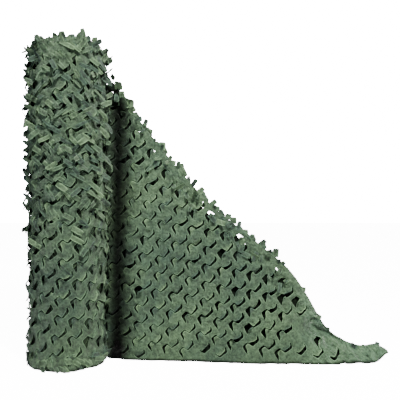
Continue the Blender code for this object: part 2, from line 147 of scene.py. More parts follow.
FOOT_LIFT = 0.0014
FOLD_RADIUS = 0.008                  # middle of the cloth round the fold
FOLD_STEPS = 4
BACK_START_X = 0.222                 # the layer behind starts here, clear of the roll
TOE_REACH, BACK_TOE = 0.040, 0.020   # how far the lower edges turn out on to the surface
TOE_HEIGHT, TOE_LOSS = 0.060, 0.0153
TALL_ENOUGH = 0.45
FRONT_BOW, BACK_BOW = 1.3, 0.9
WAVE_DEPTH, WAVE_LENGTH = 0.009, 0.46
WAVE_ALONG, WAVE_UP = 0.8, 0.6
BACK_WAVE_SHARE, BACK_WAVE_SHIFT = 0.6, 0.11
CREASE_DEPTH, CREASE_PITCH = 0.008, 0.085
CREASE_ALONG, CREASE_UP = 0.83, 0.55
CREASED_BORDER = (1.015, 1.145)
RIDGE_STEP = 0.020
BORDER_CREASES = {"run": (0.62, 0.78), "stretch": 4.0, "depth": 0.018, "pitch": 0.045,
                  "over": (1.00, 1.12)}
HOLLOW_LINE = ((1.07, 1.26), (0.222, 0.184))     # along the cloth, and up it
HOLLOW_LIP, HOLLOW_REACH, HOLLOW_DEPTH = 0.022, 0.110, 0.022
HOLLOW_STARTS, HOLLOW_ENDS = (1.06, 1.13), (1.18, 1.26)
BORDER_SLITS = ({"x": 1.125, "up": 0.302, "part": "lower"}, {"x": 1.120, "up": 0.230, "part": "upper"},
                {"x": 1.2231, "up": 0.1196, "part": "lower"})
# Size of the crease streaks, which raise the bump and lay painted light and shade along the creases.
STREAK_WIDE, STREAK_LONG = 0.011, 0.080
TAIL_LIFT, TAIL_LIFTS_OVER = 0.034, (1.46, 1.54)
SLIT_ORIGIN = (0.451, 0.580)         # one slit's middle, along the cloth and up it
CUT_SEED = 2
WARP_SEED = 13                       # Blender's noise vectors follow the clock without a seed
UNCUT_FROM, UNCUT_ABOVE, UNCUT_TAIL_FROM = 1.045, 0.115, 1.27
# Painted light on the uncut border and, more, on the tail, where the plain cloth faces up.
UNCUT_PAINTED_LIGHT, TAIL_PAINTED_LIGHT, TAIL_FROM = 0.56, 0.40, (1.22, 1.32)
# Painted shade along the foot of the sheet, fading out over FOOT_REACH.
FOOT_PAINTED_SHADE, FOOT_REACH, SHEET_CREASED = 0.16, 0.15, 0.3

BUNCHED_AT, BUNCHED_REACH = (0.84, 0.36), (0.22, 0.22)
VALLEY_AT, VALLEY_WIDE, VALLEY_DEPTH = 0.152, 0.066, 0.045
INSIDE_FROM_X, INSIDE_TO_X, INSIDE_LEAST_DEPTH = 0.152, 1.36, 0.012
# The layer inside the fold is a near-black copy of the cloth's green, as painted shade.
INSIDE_DROP, INSIDE_LEAST_SHARE, INSIDE_DEPTH, INSIDE_PAINTED_SHADE = 0.050, 0.45, 0.45, 0.08
INSIDE_CLEAR, INSIDE_RUFFLE, INSIDE_GRID = 0.020, (0.004, 0.06), (90, 60)
LOOSE_RUFFLES = ((0.009, 0.05), (0.008, 0.028))      # depth and pitch of each
LOOSE_CURL = {"rolled_back": 0.15, "more_rolled_back": 0.75, "rolled": (0.6, 1.3),
              "flat": (0.4, 1.7), "outward": 0.8, "inward": -0.7}
NEAR_FOLD, WIDER = (0.05, 0.19), 0.9     # reach of the fold's wild band, and how wide its cuts open
LOWEST, LOWEST_TURN = 0.0008, 0.0006     # no point of the cloth is lower

# ---- Single leaves ------------------------------------------------------------------------------

LEAF_STEPS, LEAF_COLUMNS = 4, 4
LEAF_WIDTHS = (0.90, 1.0, 1.0, 1.0, 0.80)       # from root to tip
# LEAF_RIM_FROM: past this share of a leaf's width from its middle, its edge takes a painted highlight.
LEAF_RIDGE, LEAF_RIM_FROM = 0.06, 0.45
ROLL_LEAVES = {"around": 27, "up": 36, "jitter": 0.014, "long": (0.046, 0.076), "wide": (0.016, 0.027),
               "lift": (0.05, 0.50), "curl": (-1.1, 0.9), "twist": (-0.8, 0.8), "seed": 51,
               "furthest": 0.214}
LEAF_HEADINGS = (-40.0, -40.0, -40.0, 140.0, 140.0, 40.0, 220.0)
LEAF_HEADING_SPREAD, LEAF_ROOT_SPREAD = 16.0, 0.004
RUFFLED_FROM, LEAST_LIFT = (0.30, 1.05), 0.30        # heights over which the leaves begin to stand out
RIM_DROP, TOP_MARGIN = 0.022, 0.036  # how much lower the upper edge is away from the front
RIM_LEAVES = {"around": 84, "height": (1.425, 1.500), "long": (0.032, 0.060), "wide": (0.018, 0.032),
              "lift": (-0.35, 0.45), "curl": (-0.9, 0.9), "twist": (-0.8, 0.8), "seed": 53,
              "heading": (25.0, 155.0), "set_back": (0.0, 0.012)}
FOOT_LEAVES = {"around": 90, "height": (0.012, 0.060), "long": (0.030, 0.056), "wide": (0.020, 0.032),
               "lift": (0.0, 0.40), "curl": (-0.9, 0.6), "twist": (-0.4, 0.4), "seed": 57,
               "heading": (-70.0, 40.0), "set_back": (-0.006, 0.004)}
ROOT_TUFT = {"angle": (0.0, 45.0), "height": 1.34, "lift_share": 1.2}
LEAST_CURL = 0.05
FOLD_LEAVES = (
    {"from_x": 0.205, "to_x": 1.06, "step": (0.012, 0.026), "depth": (-0.012, 0.008),
     "long": (0.028, 0.056), "wide": (0.020, 0.040), "lift": (-0.6, 0.9), "heading": (35.0, 145.0),
     "curl": (-1.6, 1.6), "twist": (-0.7, 0.7), "seed": 52},
    {"from_x": 0.225, "to_x": 1.06, "step": (0.006, 0.012), "depth": (-0.120, -0.012),
     "long": (0.028, 0.056), "wide": (0.014, 0.028), "lift": (0.15, 1.10), "heading": (0.0, 360.0),
     "curl": (-1.6, 1.2), "twist": (-0.9, 0.9), "seed": 54},
    {"from_x": 1.07, "to_x": 1.50, "step": (0.045, 0.080), "depth": (-0.018, -0.006),
     "long": (0.016, 0.030), "wide": (0.022, 0.040), "lift": (-0.3, 0.5), "heading": (40.0, 120.0),
     "curl": (-0.9, 0.9), "twist": (-0.3, 0.3), "seed": 55},
    {"from_x": 1.500, "to_x": 1.510, "step": (0.02, 0.02), "depth": (-0.034, -0.032),
     "long": (0.034, 0.036), "wide": (0.028, 0.030), "lift": (0.0, 0.1), "heading": (66.0, 70.0),
     "curl": (0.3, 0.4), "twist": (0.1, 0.2), "seed": 56},
)

# ---- Lights and camera --------------------------------------------------------------------------

LIGHTS = (
    {"name": "key", "place": (1.6, -2.5, 3.7), "aim": (0.5, 0.0, 0.6), "size": 0.30, "power": 415.0,
     "colour": (1.0, 0.98, 0.94)},
    {"name": "fill", "place": (-2.2, -2.6, 1.8), "aim": (0.3, 0.0, 0.7), "size": 2.0, "power": 20.0,
     "colour": (0.52, 0.80, 1.0)},
)
CAMERA_PLACE, SENSOR_WIDTH, LENS, SHIFT_Y = (0.639, -2.47, 0.80), 36.0, 45.9, -0.015
FLOOR_SIZE, FLOOR_GLOW, WORLD_LIGHT, BACKDROP = 12.0, 14.0, 0.05, 30.0


# ---- Sizes and colours that a user would change -------------------------------------------------

class NettingSizes(bpy.types.PropertyGroup):
    cloth: FloatProperty(
        name="Cloth thickness", description="Thickness of the loose cloth",
        default=0.0012, min=0.0003, max=0.003, unit="LENGTH")
    roll_radius: FloatProperty(
        name="Roll radius", description="Mean radius of the outermost turn, without its leaves",
        default=0.182, min=0.15, max=0.2, unit="LENGTH")
    turn_step: FloatProperty(
        name="Turn step", description="How much the radius drops from one turn to the next",
        default=0.010, min=0.004, max=0.02, unit="LENGTH")
    roll_curl: FloatProperty(
        name="Curl on the roll", description="How far the tongues of the wound cloth curl out",
        default=math.radians(88.0), min=0.0, max=math.pi, unit="ROTATION")
    loose_curl: FloatProperty(
        name="Curl on the loose end", description="How far the tongues of the loose end curl out",
        default=math.radians(36.0), min=0.0, max=math.pi, unit="ROTATION")
    rolled_back: FloatProperty(
        name="Curl of rolled-back tongues", description="Curl of the tongues that stand right out",
        default=math.radians(115.0), min=0.0, max=math.pi, unit="ROTATION")
    turns: IntProperty(
        name="Inner turns", description="Turns that show on the upper end of the roll",
        default=16, min=4, max=30)


class NettingColours(bpy.types.PropertyGroup):
    leaf: FloatVectorProperty(
        name="Leaf green", description="Colour of the lit cloth",
        default=(0.088, 0.148, 0.077), min=0.0, max=1.0, subtype="COLOR")
    shade: FloatVectorProperty(
        name="Shade green", description="Colour of the cooler, dirtier patches",
        default=(0.038, 0.072, 0.048), min=0.0, max=1.0, subtype="COLOR")
    floor: FloatVectorProperty(
        name="Floor", description="Colour of the plain pale floor",
        default=(0.90, 0.90, 0.90), min=0.0, max=1.0, subtype="COLOR")


def sizes():
    return bpy.context.scene.netting_sizes


def colours():
    return bpy.context.scene.netting_colours


# ---- Small sums ---------------------------------------------------------------------------------

def smooth_step(value, low, high):
    share = np.clip((value - low) / (high - low), 0.0, 1.0)
    return share * share * (3.0 - 2.0 * share)


def column(rows, name):
    return [row[name] for row in rows]


def wander(places, scale, seed):
    """Smooth noise from -1 to 1 at each place, for a feature size in metres."""
    shift = Vector((seed * 3.7, seed * 1.3, seed * 7.1))
    return np.array([noise.noise(Vector(place) / scale + shift) for place in places])


# ---- Cutting the flat cloth ---------------------------------------------------------------------

def rounded_zigzag():
    """Rows of (across, up, gap across, gap up) along one slit, its corners rounded."""
    corners = [np.array((row["across"], row["up"], *row["gap"])) for row in SLIT]
    line = [corners[0]]
    for number in range(1, len(corners) - 1):
        here, ends = corners[number], []
        for other in (corners[number - 1], corners[number + 1]):
            share = SLIT[number]["rounding"] / np.hypot(*(other - here)[:2])
            ends.append(here + (other - here) * share)
        for t in (0.0, 0.5, 1.0):
            line.append(ends[0] * (1 - t) ** 2 + here * 2 * t * (1 - t) + ends[1] * t ** 2)
    line.append(corners[-1])
    full = [line[0]]
    for start, end in zip(line, line[1:]):
        if np.hypot(*(end - start)[:2]) > LONGEST_CUT_STEP:
            full.append(0.5 * (start + end))
        full.append(end)
    full = np.array(full)
    full[1, 2:], full[-2, 2:] = NEAR_END_GAP * full[2, 2:], NEAR_END_GAP * full[-3, 2:]
    return full


ZIGZAG = rounded_zigzag()
HALF_WAY = len(ZIGZAG) // 2
# Where one hook alone is cut, it is the lower or the upper part of the zigzag.
TAIL_OF_HOOK = 3
UNFOLD_ROUNDS = 12
LEAST_LIP_STEP = 0.0006
SLIT_PARTS = {
    "whole": np.arange(0, len(ZIGZAG)),
    "lower": np.arange(0, HALF_WAY + TAIL_OF_HOOK),
    "upper": np.arange(HALF_WAY + 1 - TAIL_OF_HOOK, len(ZIGZAG)),
}


def unit(run):
    return run / np.hypot(*run)


def tongue_shape(part, base_start, base_end, tip):
    """Base, direction, length and outline of a tongue, from the numbers of its corners."""
    start, end, tip = (np.array((SLIT[number]["across"], SLIT[number]["up"]))
                       for number in (base_start, base_end, tip))
    base = unit(end - start)
    ahead = np.array((-base[1], base[0]))
    return {"start": start, "base": base, "ahead": ahead, "wide": np.hypot(*(end - start)),
            "long": float((tip - start) @ ahead), "outline": ZIGZAG[SLIT_PARTS[part], :2], "tip": tip}


TONGUES = {"lower": tongue_shape("lower", 0, 3, 1), "upper": tongue_shape("upper", 5, 2, 4)}


def side_of(line):
    """Unit vector to the left of a line, at each of its points."""
    run = np.gradient(line, axis=0)
    return np.stack((-run[:, 1], run[:, 0]), axis=1) / np.hypot(*run.T)[:, None]


def unfolded(lip, line):
    """A lip's line with its points drawn apart wherever they run back along the cut's line."""
    lip = lip.copy()
    for _ in range(UNFOLD_ROUNDS):
        for number in range(len(lip) - 1):
            run = unit(line[number + 1] - line[number])
            short = LEAST_LIP_STEP - float((lip[number + 1] - lip[number]) @ run)
            if short > 0.0:
                lip[number] -= 0.5 * short * run
                lip[number + 1] += 0.5 * short * run
    return lip


@functools.lru_cache(maxsize=None)
def slit_loops(part, widen):
    """The cut edge all round one slit, and the line round it where its lip starts."""
    number = SLIT_PARTS[part]
    line, gap = ZIGZAG[number, :2], widen * ZIGZAG[number, 2:]
    inner = np.ones((len(line), 1))
    inner[[0, -1]] = 0.0
    left = line + HALF_CUT * inner * side_of(line) + gap * (number > HALF_WAY)[:, None]
    right = line - HALF_CUT * inner * side_of(line) + gap * (number < HALF_WAY)[:, None]
    left_lip = left + LIP * inner * side_of(left)
    right_lip = right - LIP * inner * side_of(right)
    left_lip[0] += LIP * unit(line[0] - line[1])
    left_lip[-1] += LIP * unit(line[-1] - line[-2])
    right_lip[[0, -1]] = left_lip[[0, -1]]
    left_lip, right_lip = unfolded(left_lip, line), unfolded(right_lip, line)
    return (np.concatenate((left, right[-2:0:-1])), np.concatenate((left_lip, right_lip[-2:0:-1])))


def lattice(origin, reach):
    for number in range(-reach, reach):
        for row in range(-reach, reach):
            yield np.array((origin[0] + number * ACROSS_STEP[0] + row * UP_STEP[0],
                            origin[1] + number * ACROSS_STEP[1] + row * UP_STEP[1]))


def turned(points, angle, size):
    c, s = math.cos(angle), math.sin(angle)
    return size * points @ np.array(((c, s), (-s, c)))


def slit_at(part, middle, turn, size, widen):
    cut, lips = (turned(loop, turn, size) + middle for loop in slit_loops(part, widen))
    return {"middle": middle, "turn": turn, "size": size, "cut": cut, "lips": lips,
            "tongues": ("lower", "upper") if part == "whole" else (part,)}


def find_slits(origin, fits, widen_at, seed):
    """The slits of one layer, each whole, or one hook where only that fits."""
    dice = random.Random(seed)
    noise.seed_set(WARP_SEED)
    found = []
    for middle in lattice(origin, 2 * math.ceil(NET_WIDTH / UP_STEP[1])):
        turn, size = dice.uniform(-SLIT_TURN, SLIT_TURN), dice.uniform(*SLIT_SIZE)
        shift = noise.noise_vector(Vector((*middle, seed)) / WARP_SCALE)
        middle = middle + WARP * np.array(shift[:2])
        widen = round(float(widen_at(*middle)), 2)
        for part in SLIT_PARTS:
            slit = slit_at(part, middle, turn, size, widen)
            if fits(slit["lips"]):
                found.append(slit)
                break
    return found


def add_loop(bm, points, layer):
    verts = [bm.verts.new((along, layer, up)) for along, up in points]
    return verts, [bm.edges.new(pair) for pair in zip(verts, verts[1:] + verts[:1])]


def fill_layer(bm, outline, slits, layer, facing, halvings=HALVINGS):
    """Fill one flat layer between its outline and its slits, with edges short enough to bend, and
    a narrow lip along each cut."""
    bm.verts.layers.float.new("rim")
    mark = bm.verts.layers.int.new("lip number")
    edges = add_loop(bm, outline, layer)[1]
    count = 0
    for slit in slits:
        verts, loop = add_loop(bm, slit["lips"], layer)
        edges += loop
        for vert in verts:
            count += 1
            vert[mark] = count
    bmesh.ops.triangle_fill(bm, edges=edges, use_beauty=True, normal=(0.0, facing, 0.0))
    for longest in halvings:
        inner = [edge for edge in bm.edges if len(edge.link_faces) == 2]
        too_long = [edge for edge in inner if edge.calc_length() > longest]
        bmesh.ops.subdivide_edges(bm, edges=too_long, cuts=1)
        bmesh.ops.triangulate(bm, faces=[face for face in bm.faces if len(face.verts) > 3])
        for method in ("ANGLE", "AREA"):
            bmesh.ops.beautify_fill(bm, faces=bm.faces, edges=bm.edges, method=method)
    for _ in range(SMOOTH_ROUNDS):
        inner = [vert for vert in bm.verts if not vert.is_boundary]
        bmesh.ops.smooth_vert(bm, verts=inner, factor=0.5,
                              use_axis_x=True, use_axis_y=True, use_axis_z=True)
    lips = {vert[mark]: vert for vert in bm.verts if vert.is_boundary and vert[mark]}
    lips = [lips[number + 1] for number in range(count)]
    rim = bm.verts.layers.float["rim"]
    count = 0
    for slit in slits:
        outer = lips[count:count + len(slit["lips"])]
        count += len(outer)
        cut = [bm.verts.new((along, layer, up)) for along, up in slit["cut"]]
        # The cut edge is marked as rim: its lip is pushed back, and the shader lays a painted highlight
        # along it.
        for vert in cut:
            vert[rim] = 1.0
        for number in range(len(cut)):
            bm.faces.new((outer[number - 1], outer[number], cut[number], cut[number - 1]))
    bm.verts.layers.int.remove(mark)
    for face in bm.faces:
        face.normal_update()
        if face.normal.y * facing < 0.0:
            face.normal_flip()


def inside_loop(points, loop):
    """Which points lie inside a closed loop."""
    inside = np.zeros(len(points), dtype=bool)
    for (x0, z0), (x1, z1) in zip(loop, np.roll(loop, -1, axis=0)):
        crosses = (z0 > points[:, 1]) != (z1 > points[:, 1])
        if z0 != z1:
            at = x0 + (points[:, 1] - z0) / (z1 - z0) * (x1 - x0)
            inside ^= crosses & (points[:, 0] < at)
    return inside


def bend_tongues(flat, rim, slits, curl_at, seed):
    """Bend each slit's tongues. Returns the moved flat places, how far each point stands out and a
    chance tone for each tongue."""
    dice = random.Random(seed)
    moved = flat.copy()
    out = -OUTER_LIP * rim
    tone = np.zeros(len(flat))
    for slit in slits:
        near = np.flatnonzero(np.abs(flat - slit["middle"]).max(axis=1) < SLIT_REACH)
        local = turned(flat[near] - slit["middle"], -slit["turn"], 1.0 / slit["size"])
        for name in slit["tongues"]:
            tongue = TONGUES[name]
            inside = inside_loop(local, tongue["outline"])
            curl = curl_at(*slit["middle"], name, dice)
            twist, shade = dice.uniform(-TWIST, TWIST), dice.uniform(-1.0, 1.0)
            points = local[inside] - tongue["start"]
            ahead = np.clip(points @ tongue["ahead"], 0.0, None)
            across = points @ tongue["base"] / tongue["wide"]
            bend = curl * (1.0 + twist * (across - 0.5) * 2.0) / tongue["long"]
            bend = np.where(np.abs(bend) < LEAST_BEND, LEAST_BEND, bend)
            pulled = np.sin(bend * ahead) / bend - ahead
            which = near[inside]
            moved[which] += turned(pulled[:, None] * tongue["ahead"], slit["turn"], slit["size"])
            out[which] += (1.0 - np.cos(bend * ahead)) / bend
            out[which] += (OUTER_LIP + TONGUE_LIP * math.copysign(1.0, curl)) * rim[which]
            tone[which] = shade * smooth_step(ahead, 0.0, TONE_FADE)
            away = np.hypot(*(local[~inside] - tongue["tip"]).T)
            out[near[~inside]] -= DENT_SHARE * curl * tongue["long"] * np.exp(-(away / DENT_REACH) ** 2)
    return moved, out, tone


# ---- From flat cloth to a shape -----------------------------------------------------------------

def stand_out(surface, along, up, out):
    """Points at a distance out in front of a surface."""
    step = 0.002
    along_run = surface(along + step, up) - surface(along - step, up)
    up_run = surface(along, up + step) - surface(along, up - step)
    normal = np.cross(along_run, up_run)
    normal /= np.linalg.norm(normal, axis=1)[:, None]
    return surface(along, up) + out[:, None] * normal


def flat_places(mesh):
    places = np.empty(len(mesh.vertices) * 3)
    mesh.vertices.foreach_get("co", places)
    return places.reshape(-1, 3)


def point_values(mesh, name):
    values = np.empty(len(mesh.vertices))
    mesh.attributes[name].data.foreach_get("value", values)
    return values


def finish_cloth(name, mesh, places, flat, tone, material, painted_light_and_shade=None, creased=None):
    """Give a flat mesh its shape, a UV map in metres of flat cloth and a tone for each leaf."""
    mesh.vertices.foreach_set("co", places.astype(np.float32).ravel())
    corners = np.empty(len(mesh.loops), dtype=np.int32)
    mesh.loops.foreach_get("vertex_index", corners)
    uv = mesh.uv_layers.new(name="Cloth")
    uv.data.foreach_set("uv", flat[corners].astype(np.float32).ravel())
    for layer, values in (("leaf_tone", tone), ("painted_light_and_shade", painted_light_and_shade), ("creased", creased)):
        if values is not None:
            attribute = mesh.attributes.new(layer, "FLOAT", "POINT")
            attribute.data.foreach_set("value", values.astype(np.float32))
    mesh.shade_smooth()
    mesh.update()
    obj = bpy.data.objects.new(name, mesh)
    obj.data.materials.append(material)
    bpy.context.scene.collection.objects.link(obj)
    return obj


def to_mesh(bm, name):
    mesh = bpy.data.meshes.new(name)
    bm.to_mesh(mesh)
    bm.free()
    return mesh


def grid_mesh(name, columns, rows):
    """A grid one unit wide, and where its points lie from its middle."""
    bm = bmesh.new()
    bmesh.ops.create_grid(bm, x_segments=columns, y_segments=rows, size=0.5)
    mesh = to_mesh(bm, name)
    return mesh, flat_places(mesh)


def build_leaves(name, rows, material, furthest=None):
    """Narrow leaves that rise from their roots and curl, one for each row of their sizes. None of
    them reaches further than that from the roll's axis."""
    bm = bmesh.new()
    for _ in rows:
        bmesh.ops.create_grid(bm, x_segments=LEAF_STEPS, y_segments=LEAF_COLUMNS, size=0.5)
    mesh = to_mesh(bm, name)
    layout = flat_places(mesh).reshape(len(rows), -1, 3)
    share, across = layout[..., 0] + 0.5, layout[..., 1]
    root, ahead, out = (np.array(column(rows, key))[:, None, :] for key in ("root", "ahead", "out"))
    long, wide, lift, curl, twist, tone = (
        np.array(column(rows, key))[:, None]
        for key in ("long", "wide", "lift", "curl", "twist", "tone"))
    curl = np.where(np.abs(curl) < LEAST_CURL, LEAST_CURL, curl)
    forward = long * (np.sin(lift + curl * share) - np.sin(lift)) / curl
    height = long * (np.cos(lift) - np.cos(lift + curl * share)) / curl
    height = height + LEAF_RIDGE * wide * (1.0 - 2.0 * np.abs(across))
    reach = wide * across * np.interp(share, np.linspace(0.0, 1.0, LEAF_STEPS + 1), LEAF_WIDTHS)
    side = np.cross(out, ahead)
    lean_by = twist * (0.4 + 0.6 * share)
    places = (root + forward[..., None] * ahead + height[..., None] * out
              + (reach * np.cos(lean_by))[..., None] * side + (reach * np.sin(lean_by))[..., None] * out)
    places = places.reshape(-1, 3)
    places[:, 2] = np.maximum(places[:, 2], LOWEST)
    if furthest:
        places[:, :2] *= np.minimum(1.0, furthest / np.hypot(places[:, 0], places[:, 1]))[:, None]
    flat = np.stack((root[..., 0] + forward, root[..., 2] + reach), axis=2).reshape(-1, 2)
    # The outer edges of a leaf are marked as rim, for a painted highlight along them.
    rim = mesh.attributes.new("rim", "FLOAT", "POINT")
    rim.data.foreach_set("value", (np.abs(across) > LEAF_RIM_FROM).astype(np.float32).ravel())
    return finish_cloth(name, mesh, places, flat, np.broadcast_to(tone, share.shape).ravel(), material)


def leaf_row(dice, spec, root, ahead, out, lift_share=1.0):
    return {"root": root, "ahead": ahead, "out": out, "long": dice.uniform(*spec["long"]),
            "wide": dice.uniform(*spec["wide"]), "lift": lift_share * dice.uniform(*spec["lift"]),
            "curl": dice.uniform(*spec["curl"]), "twist": dice.uniform(*spec["twist"]),
            "tone": dice.uniform(-1.0, 1.0)}


# ---- Shape of the loose end ---------------------------------------------------------------------

def all_sections():
    """The listed sections, after a few that hug the roll."""
    rows = []
    for degrees in HUGGING_ANGLES:
        x = HUGGING_RADIUS * math.cos(math.radians(degrees))
        y = HUGGING_RADIUS * math.sin(math.radians(degrees))
        ridge_z = SECTIONS[0]["ridge_z"] + HUGGING_RISE * degrees / HUGGING_ANGLES[0]
        rows.append({"x": x, "front_y": y, "ridge_z": ridge_z, "ridge_y": y, "back_y": y})
    return rows + list(SECTIONS)


def smooth_column(values):
    """Catmull-Rom curve through the values, read at even steps."""
    padded = [2 * values[0] - values[1]] + list(values) + [2 * values[-1] - values[-2]]
    curve = []
    for span in range(len(values) - 1):
        before, start, end, after = padded[span:span + 4]
        for step in range(STEPS_PER_SECTION):
            t = step / STEPS_PER_SECTION
            curve.append(0.5 * (2 * start + (end - before) * t
                                + (2 * before - 5 * start + 4 * end - after) * t ** 2
                                + (3 * start - before - 3 * end + after) * t ** 3))
    curve.append(values[-1])
    return np.array(curve)


def drape_table():
    rows = all_sections()
    table = {name: smooth_column(column(rows, name)) for name in rows[0]}
    steps = np.hypot(np.diff(table["x"]), np.diff(table["front_y"]))
    table["along"] = np.concatenate(([0.0], np.cumsum(steps)))
    return table


DRAPE = drape_table()
LENGTH = float(DRAPE["along"][-1])


def section_value(name, along):
    return np.interp(along, DRAPE["along"], DRAPE[name])


def along_at_x(x):
    return float(np.interp(x, DRAPE["x"], DRAPE["along"]))


def ridge_up(along):
    """Distance up the cloth to the fold."""
    return section_value("ridge_z", along) + TOE_LOSS - FOLD_RADIUS


def height_of(along, up):
    lift = TAIL_LIFT * smooth_step(section_value("x", along), *TAIL_LIFTS_OVER)
    lift = lift * np.clip(1.0 - up / ridge_up(along), 0.0, 1.0)
    return FOOT_LIFT + up - TOE_LOSS * (1.0 - np.exp(-up / TOE_HEIGHT)) + lift


def waves(along, up, top):
    share = np.clip(up / top, 0.0, 1.0)
    free = smooth_step(along, *HUGGING_TO_FREE) * np.sin(math.pi * share)
    wave_phase = (WAVE_ALONG * along + WAVE_UP * up) / WAVE_LENGTH
    crease_phase = (CREASE_ALONG * along + CREASE_UP * up) / CREASE_PITCH
    border = smooth_step(along, *CREASED_BORDER)
    return free * (WAVE_DEPTH * np.sin(2.0 * math.pi * wave_phase)
                   + CREASE_DEPTH * border * np.sin(2.0 * math.pi * crease_phase))


def lean(along, up, foot_name, toe, fold_shift, bow):
    foot = section_value(foot_name, along) + toe
    ridge = section_value("ridge_y", along) + fold_shift
    rest = np.clip(1.0 - up / ridge_up(along), 0.0, None)
    return ridge + (foot - ridge) * rest ** bow - toe * np.exp(-up / TOE_HEIGHT)


def beside_roll(along):
    """1 along the middle of the valley beside the roll, down to 0 away from it."""
    return np.exp(-((along - VALLEY_AT) / VALLEY_WIDE) ** 2)


def valley(along, up, top):
    """How much further back the cloth hangs beside the roll."""
    deep = VALLEY_DEPTH * smooth_step(top - up, 0.0, 0.12) * smooth_step(up, 0.0, 0.12)
    return deep * beside_roll(along)


def front_surface(along, up):
    top = ridge_up(along)
    toe = TOE_REACH * smooth_step(along, *HUGGING_TO_FREE) * smooth_step(top, 0.0, TALL_ENOUGH)
    y = lean(along, up, "front_y", toe, 0.0, FRONT_BOW) + waves(along, up, top)
    return np.stack((section_value("x", along), y + valley(along, up, top), height_of(along, up)), axis=1)


def back_surface(along, up):
    top = ridge_up(along)
    toe = -BACK_TOE * smooth_step(top, 0.0, TALL_ENOUGH)
    y = lean(along, up, "back_y", toe, 2.0 * FOLD_RADIUS, BACK_BOW)
    y = y + BACK_WAVE_SHARE * waves(along + BACK_WAVE_SHIFT, up, top) + valley(along, up, top)
    return np.stack((section_value("x", along), y, height_of(along, up)), axis=1)


def is_uncut(along, up):
    return along > UNCUT_TAIL_FROM or (along > UNCUT_FROM and up > UNCUT_ABOVE)


def loose_fits(first_along):
    def fits(outline):
        along, up = outline.T
        top = ridge_up(along)
        if along.min() < first_along + EDGE_MARGIN or up.min() < EDGE_MARGIN:
            return False
        return not (up > top - EDGE_MARGIN).any() and not any(is_uncut(*point) for point in outline)
    return fits


def near_fold(along, up):
    """1 at the fold, down to 0 a hand's width below it."""
    return 1.0 - float(smooth_step(ridge_up(along) - up, *NEAR_FOLD))


def bunched(along, up):
    """1 where the loose end has bunched up and its cuts stand open, down to 0 away from there."""
    place = ((along - BUNCHED_AT[0]) / BUNCHED_REACH[0], (up - BUNCHED_AT[1]) / BUNCHED_REACH[1])
    return math.exp(-place[0] ** 2 - place[1] ** 2)


def wildness(along, up):
    """1 where the cloth is wildest, at the fold and where it has bunched up."""
    return max(near_fold(along, up), bunched(along, up))


def loose_curl(along, up, name, dice):
    """Curl of a tongue: mostly flat, with more rolled back near the fold and where it has bunched."""
    chance = LOOSE_CURL["rolled_back"] + LOOSE_CURL["more_rolled_back"] * wildness(along, up)
    if dice.random() < chance:
        return sizes().rolled_back * dice.uniform(*LOOSE_CURL["rolled"])
    curl = sizes().loose_curl * dice.uniform(*LOOSE_CURL["flat"])
    return curl * (1.0 if dice.random() < LOOSE_CURL["outward"] else LOOSE_CURL["inward"])


def border_creases(flat, seed):
    """Soft creases that run with the slanting edge, in the uncut cloth."""
    along, up = flat.T
    run = BORDER_CREASES["run"]
    lengthwise = (run[0] * along - run[1] * up) / BORDER_CREASES["stretch"]
    across = np.stack((run[1] * along + run[0] * up, lengthwise, 0.0 * along), axis=1)
    deep = BORDER_CREASES["depth"] * smooth_step(along, *BORDER_CREASES["over"])
    deep = deep * smooth_step(ridge_up(along), 0.02, 0.12)
    return deep * (wander(across, BORDER_CREASES["pitch"], seed)
                   + 0.5 * wander(across, 0.5 * BORDER_CREASES["pitch"], seed + 1))


def hollow(flat):
    """How far the cloth is sunk below the one sharp crease of the border."""
    along, up = flat.T
    below = np.interp(along, *HOLLOW_LINE) - up
    deep = smooth_step(below, 0.0, HOLLOW_LIP) * (1.0 - smooth_step(below, HOLLOW_LIP, HOLLOW_REACH))
    ends = smooth_step(along, *HOLLOW_STARTS) * (1.0 - smooth_step(along, *HOLLOW_ENDS))
    return HOLLOW_DEPTH * deep * ends


def ridge_line(first_along):
    count = round((LENGTH - first_along) / RIDGE_STEP)
    return np.linspace(first_along, LENGTH, count + 1)


def ridge_points(alongs):
    """Points along the fold, from the far end back."""
    return [(along, float(ridge_up(along))) for along in alongs[::-1]]


def fold_over(bm, first_along):
    """Carry the front layer's upper edge over half a turn, to where the back layer starts."""
    def on_ridge(vert):
        return (vert.co.x > first_along - MERGE_DISTANCE
                and abs(vert.co.z - float(ridge_up(vert.co.x))) < MERGE_DISTANCE)
    folded = [edge for edge in bm.edges if edge.is_boundary and all(map(on_ridge, edge.verts))]
    for step in range(FOLD_STEPS):
        before, now = math.pi * step / FOLD_STEPS, math.pi * (step + 1) / FOLD_STEPS
        grown = bmesh.ops.extrude_edge_only(bm, edges=folded)["geom"]
        folded = [item for item in grown if isinstance(item, bmesh.types.BMEdge)]
        moved = [item for item in grown if isinstance(item, bmesh.types.BMVert)]
        shift = (0.0, FOLD_RADIUS * (math.cos(before) - math.cos(now)),
                 FOLD_RADIUS * (math.sin(now) - math.sin(before)))
        bmesh.ops.translate(bm, verts=moved, vec=shift)


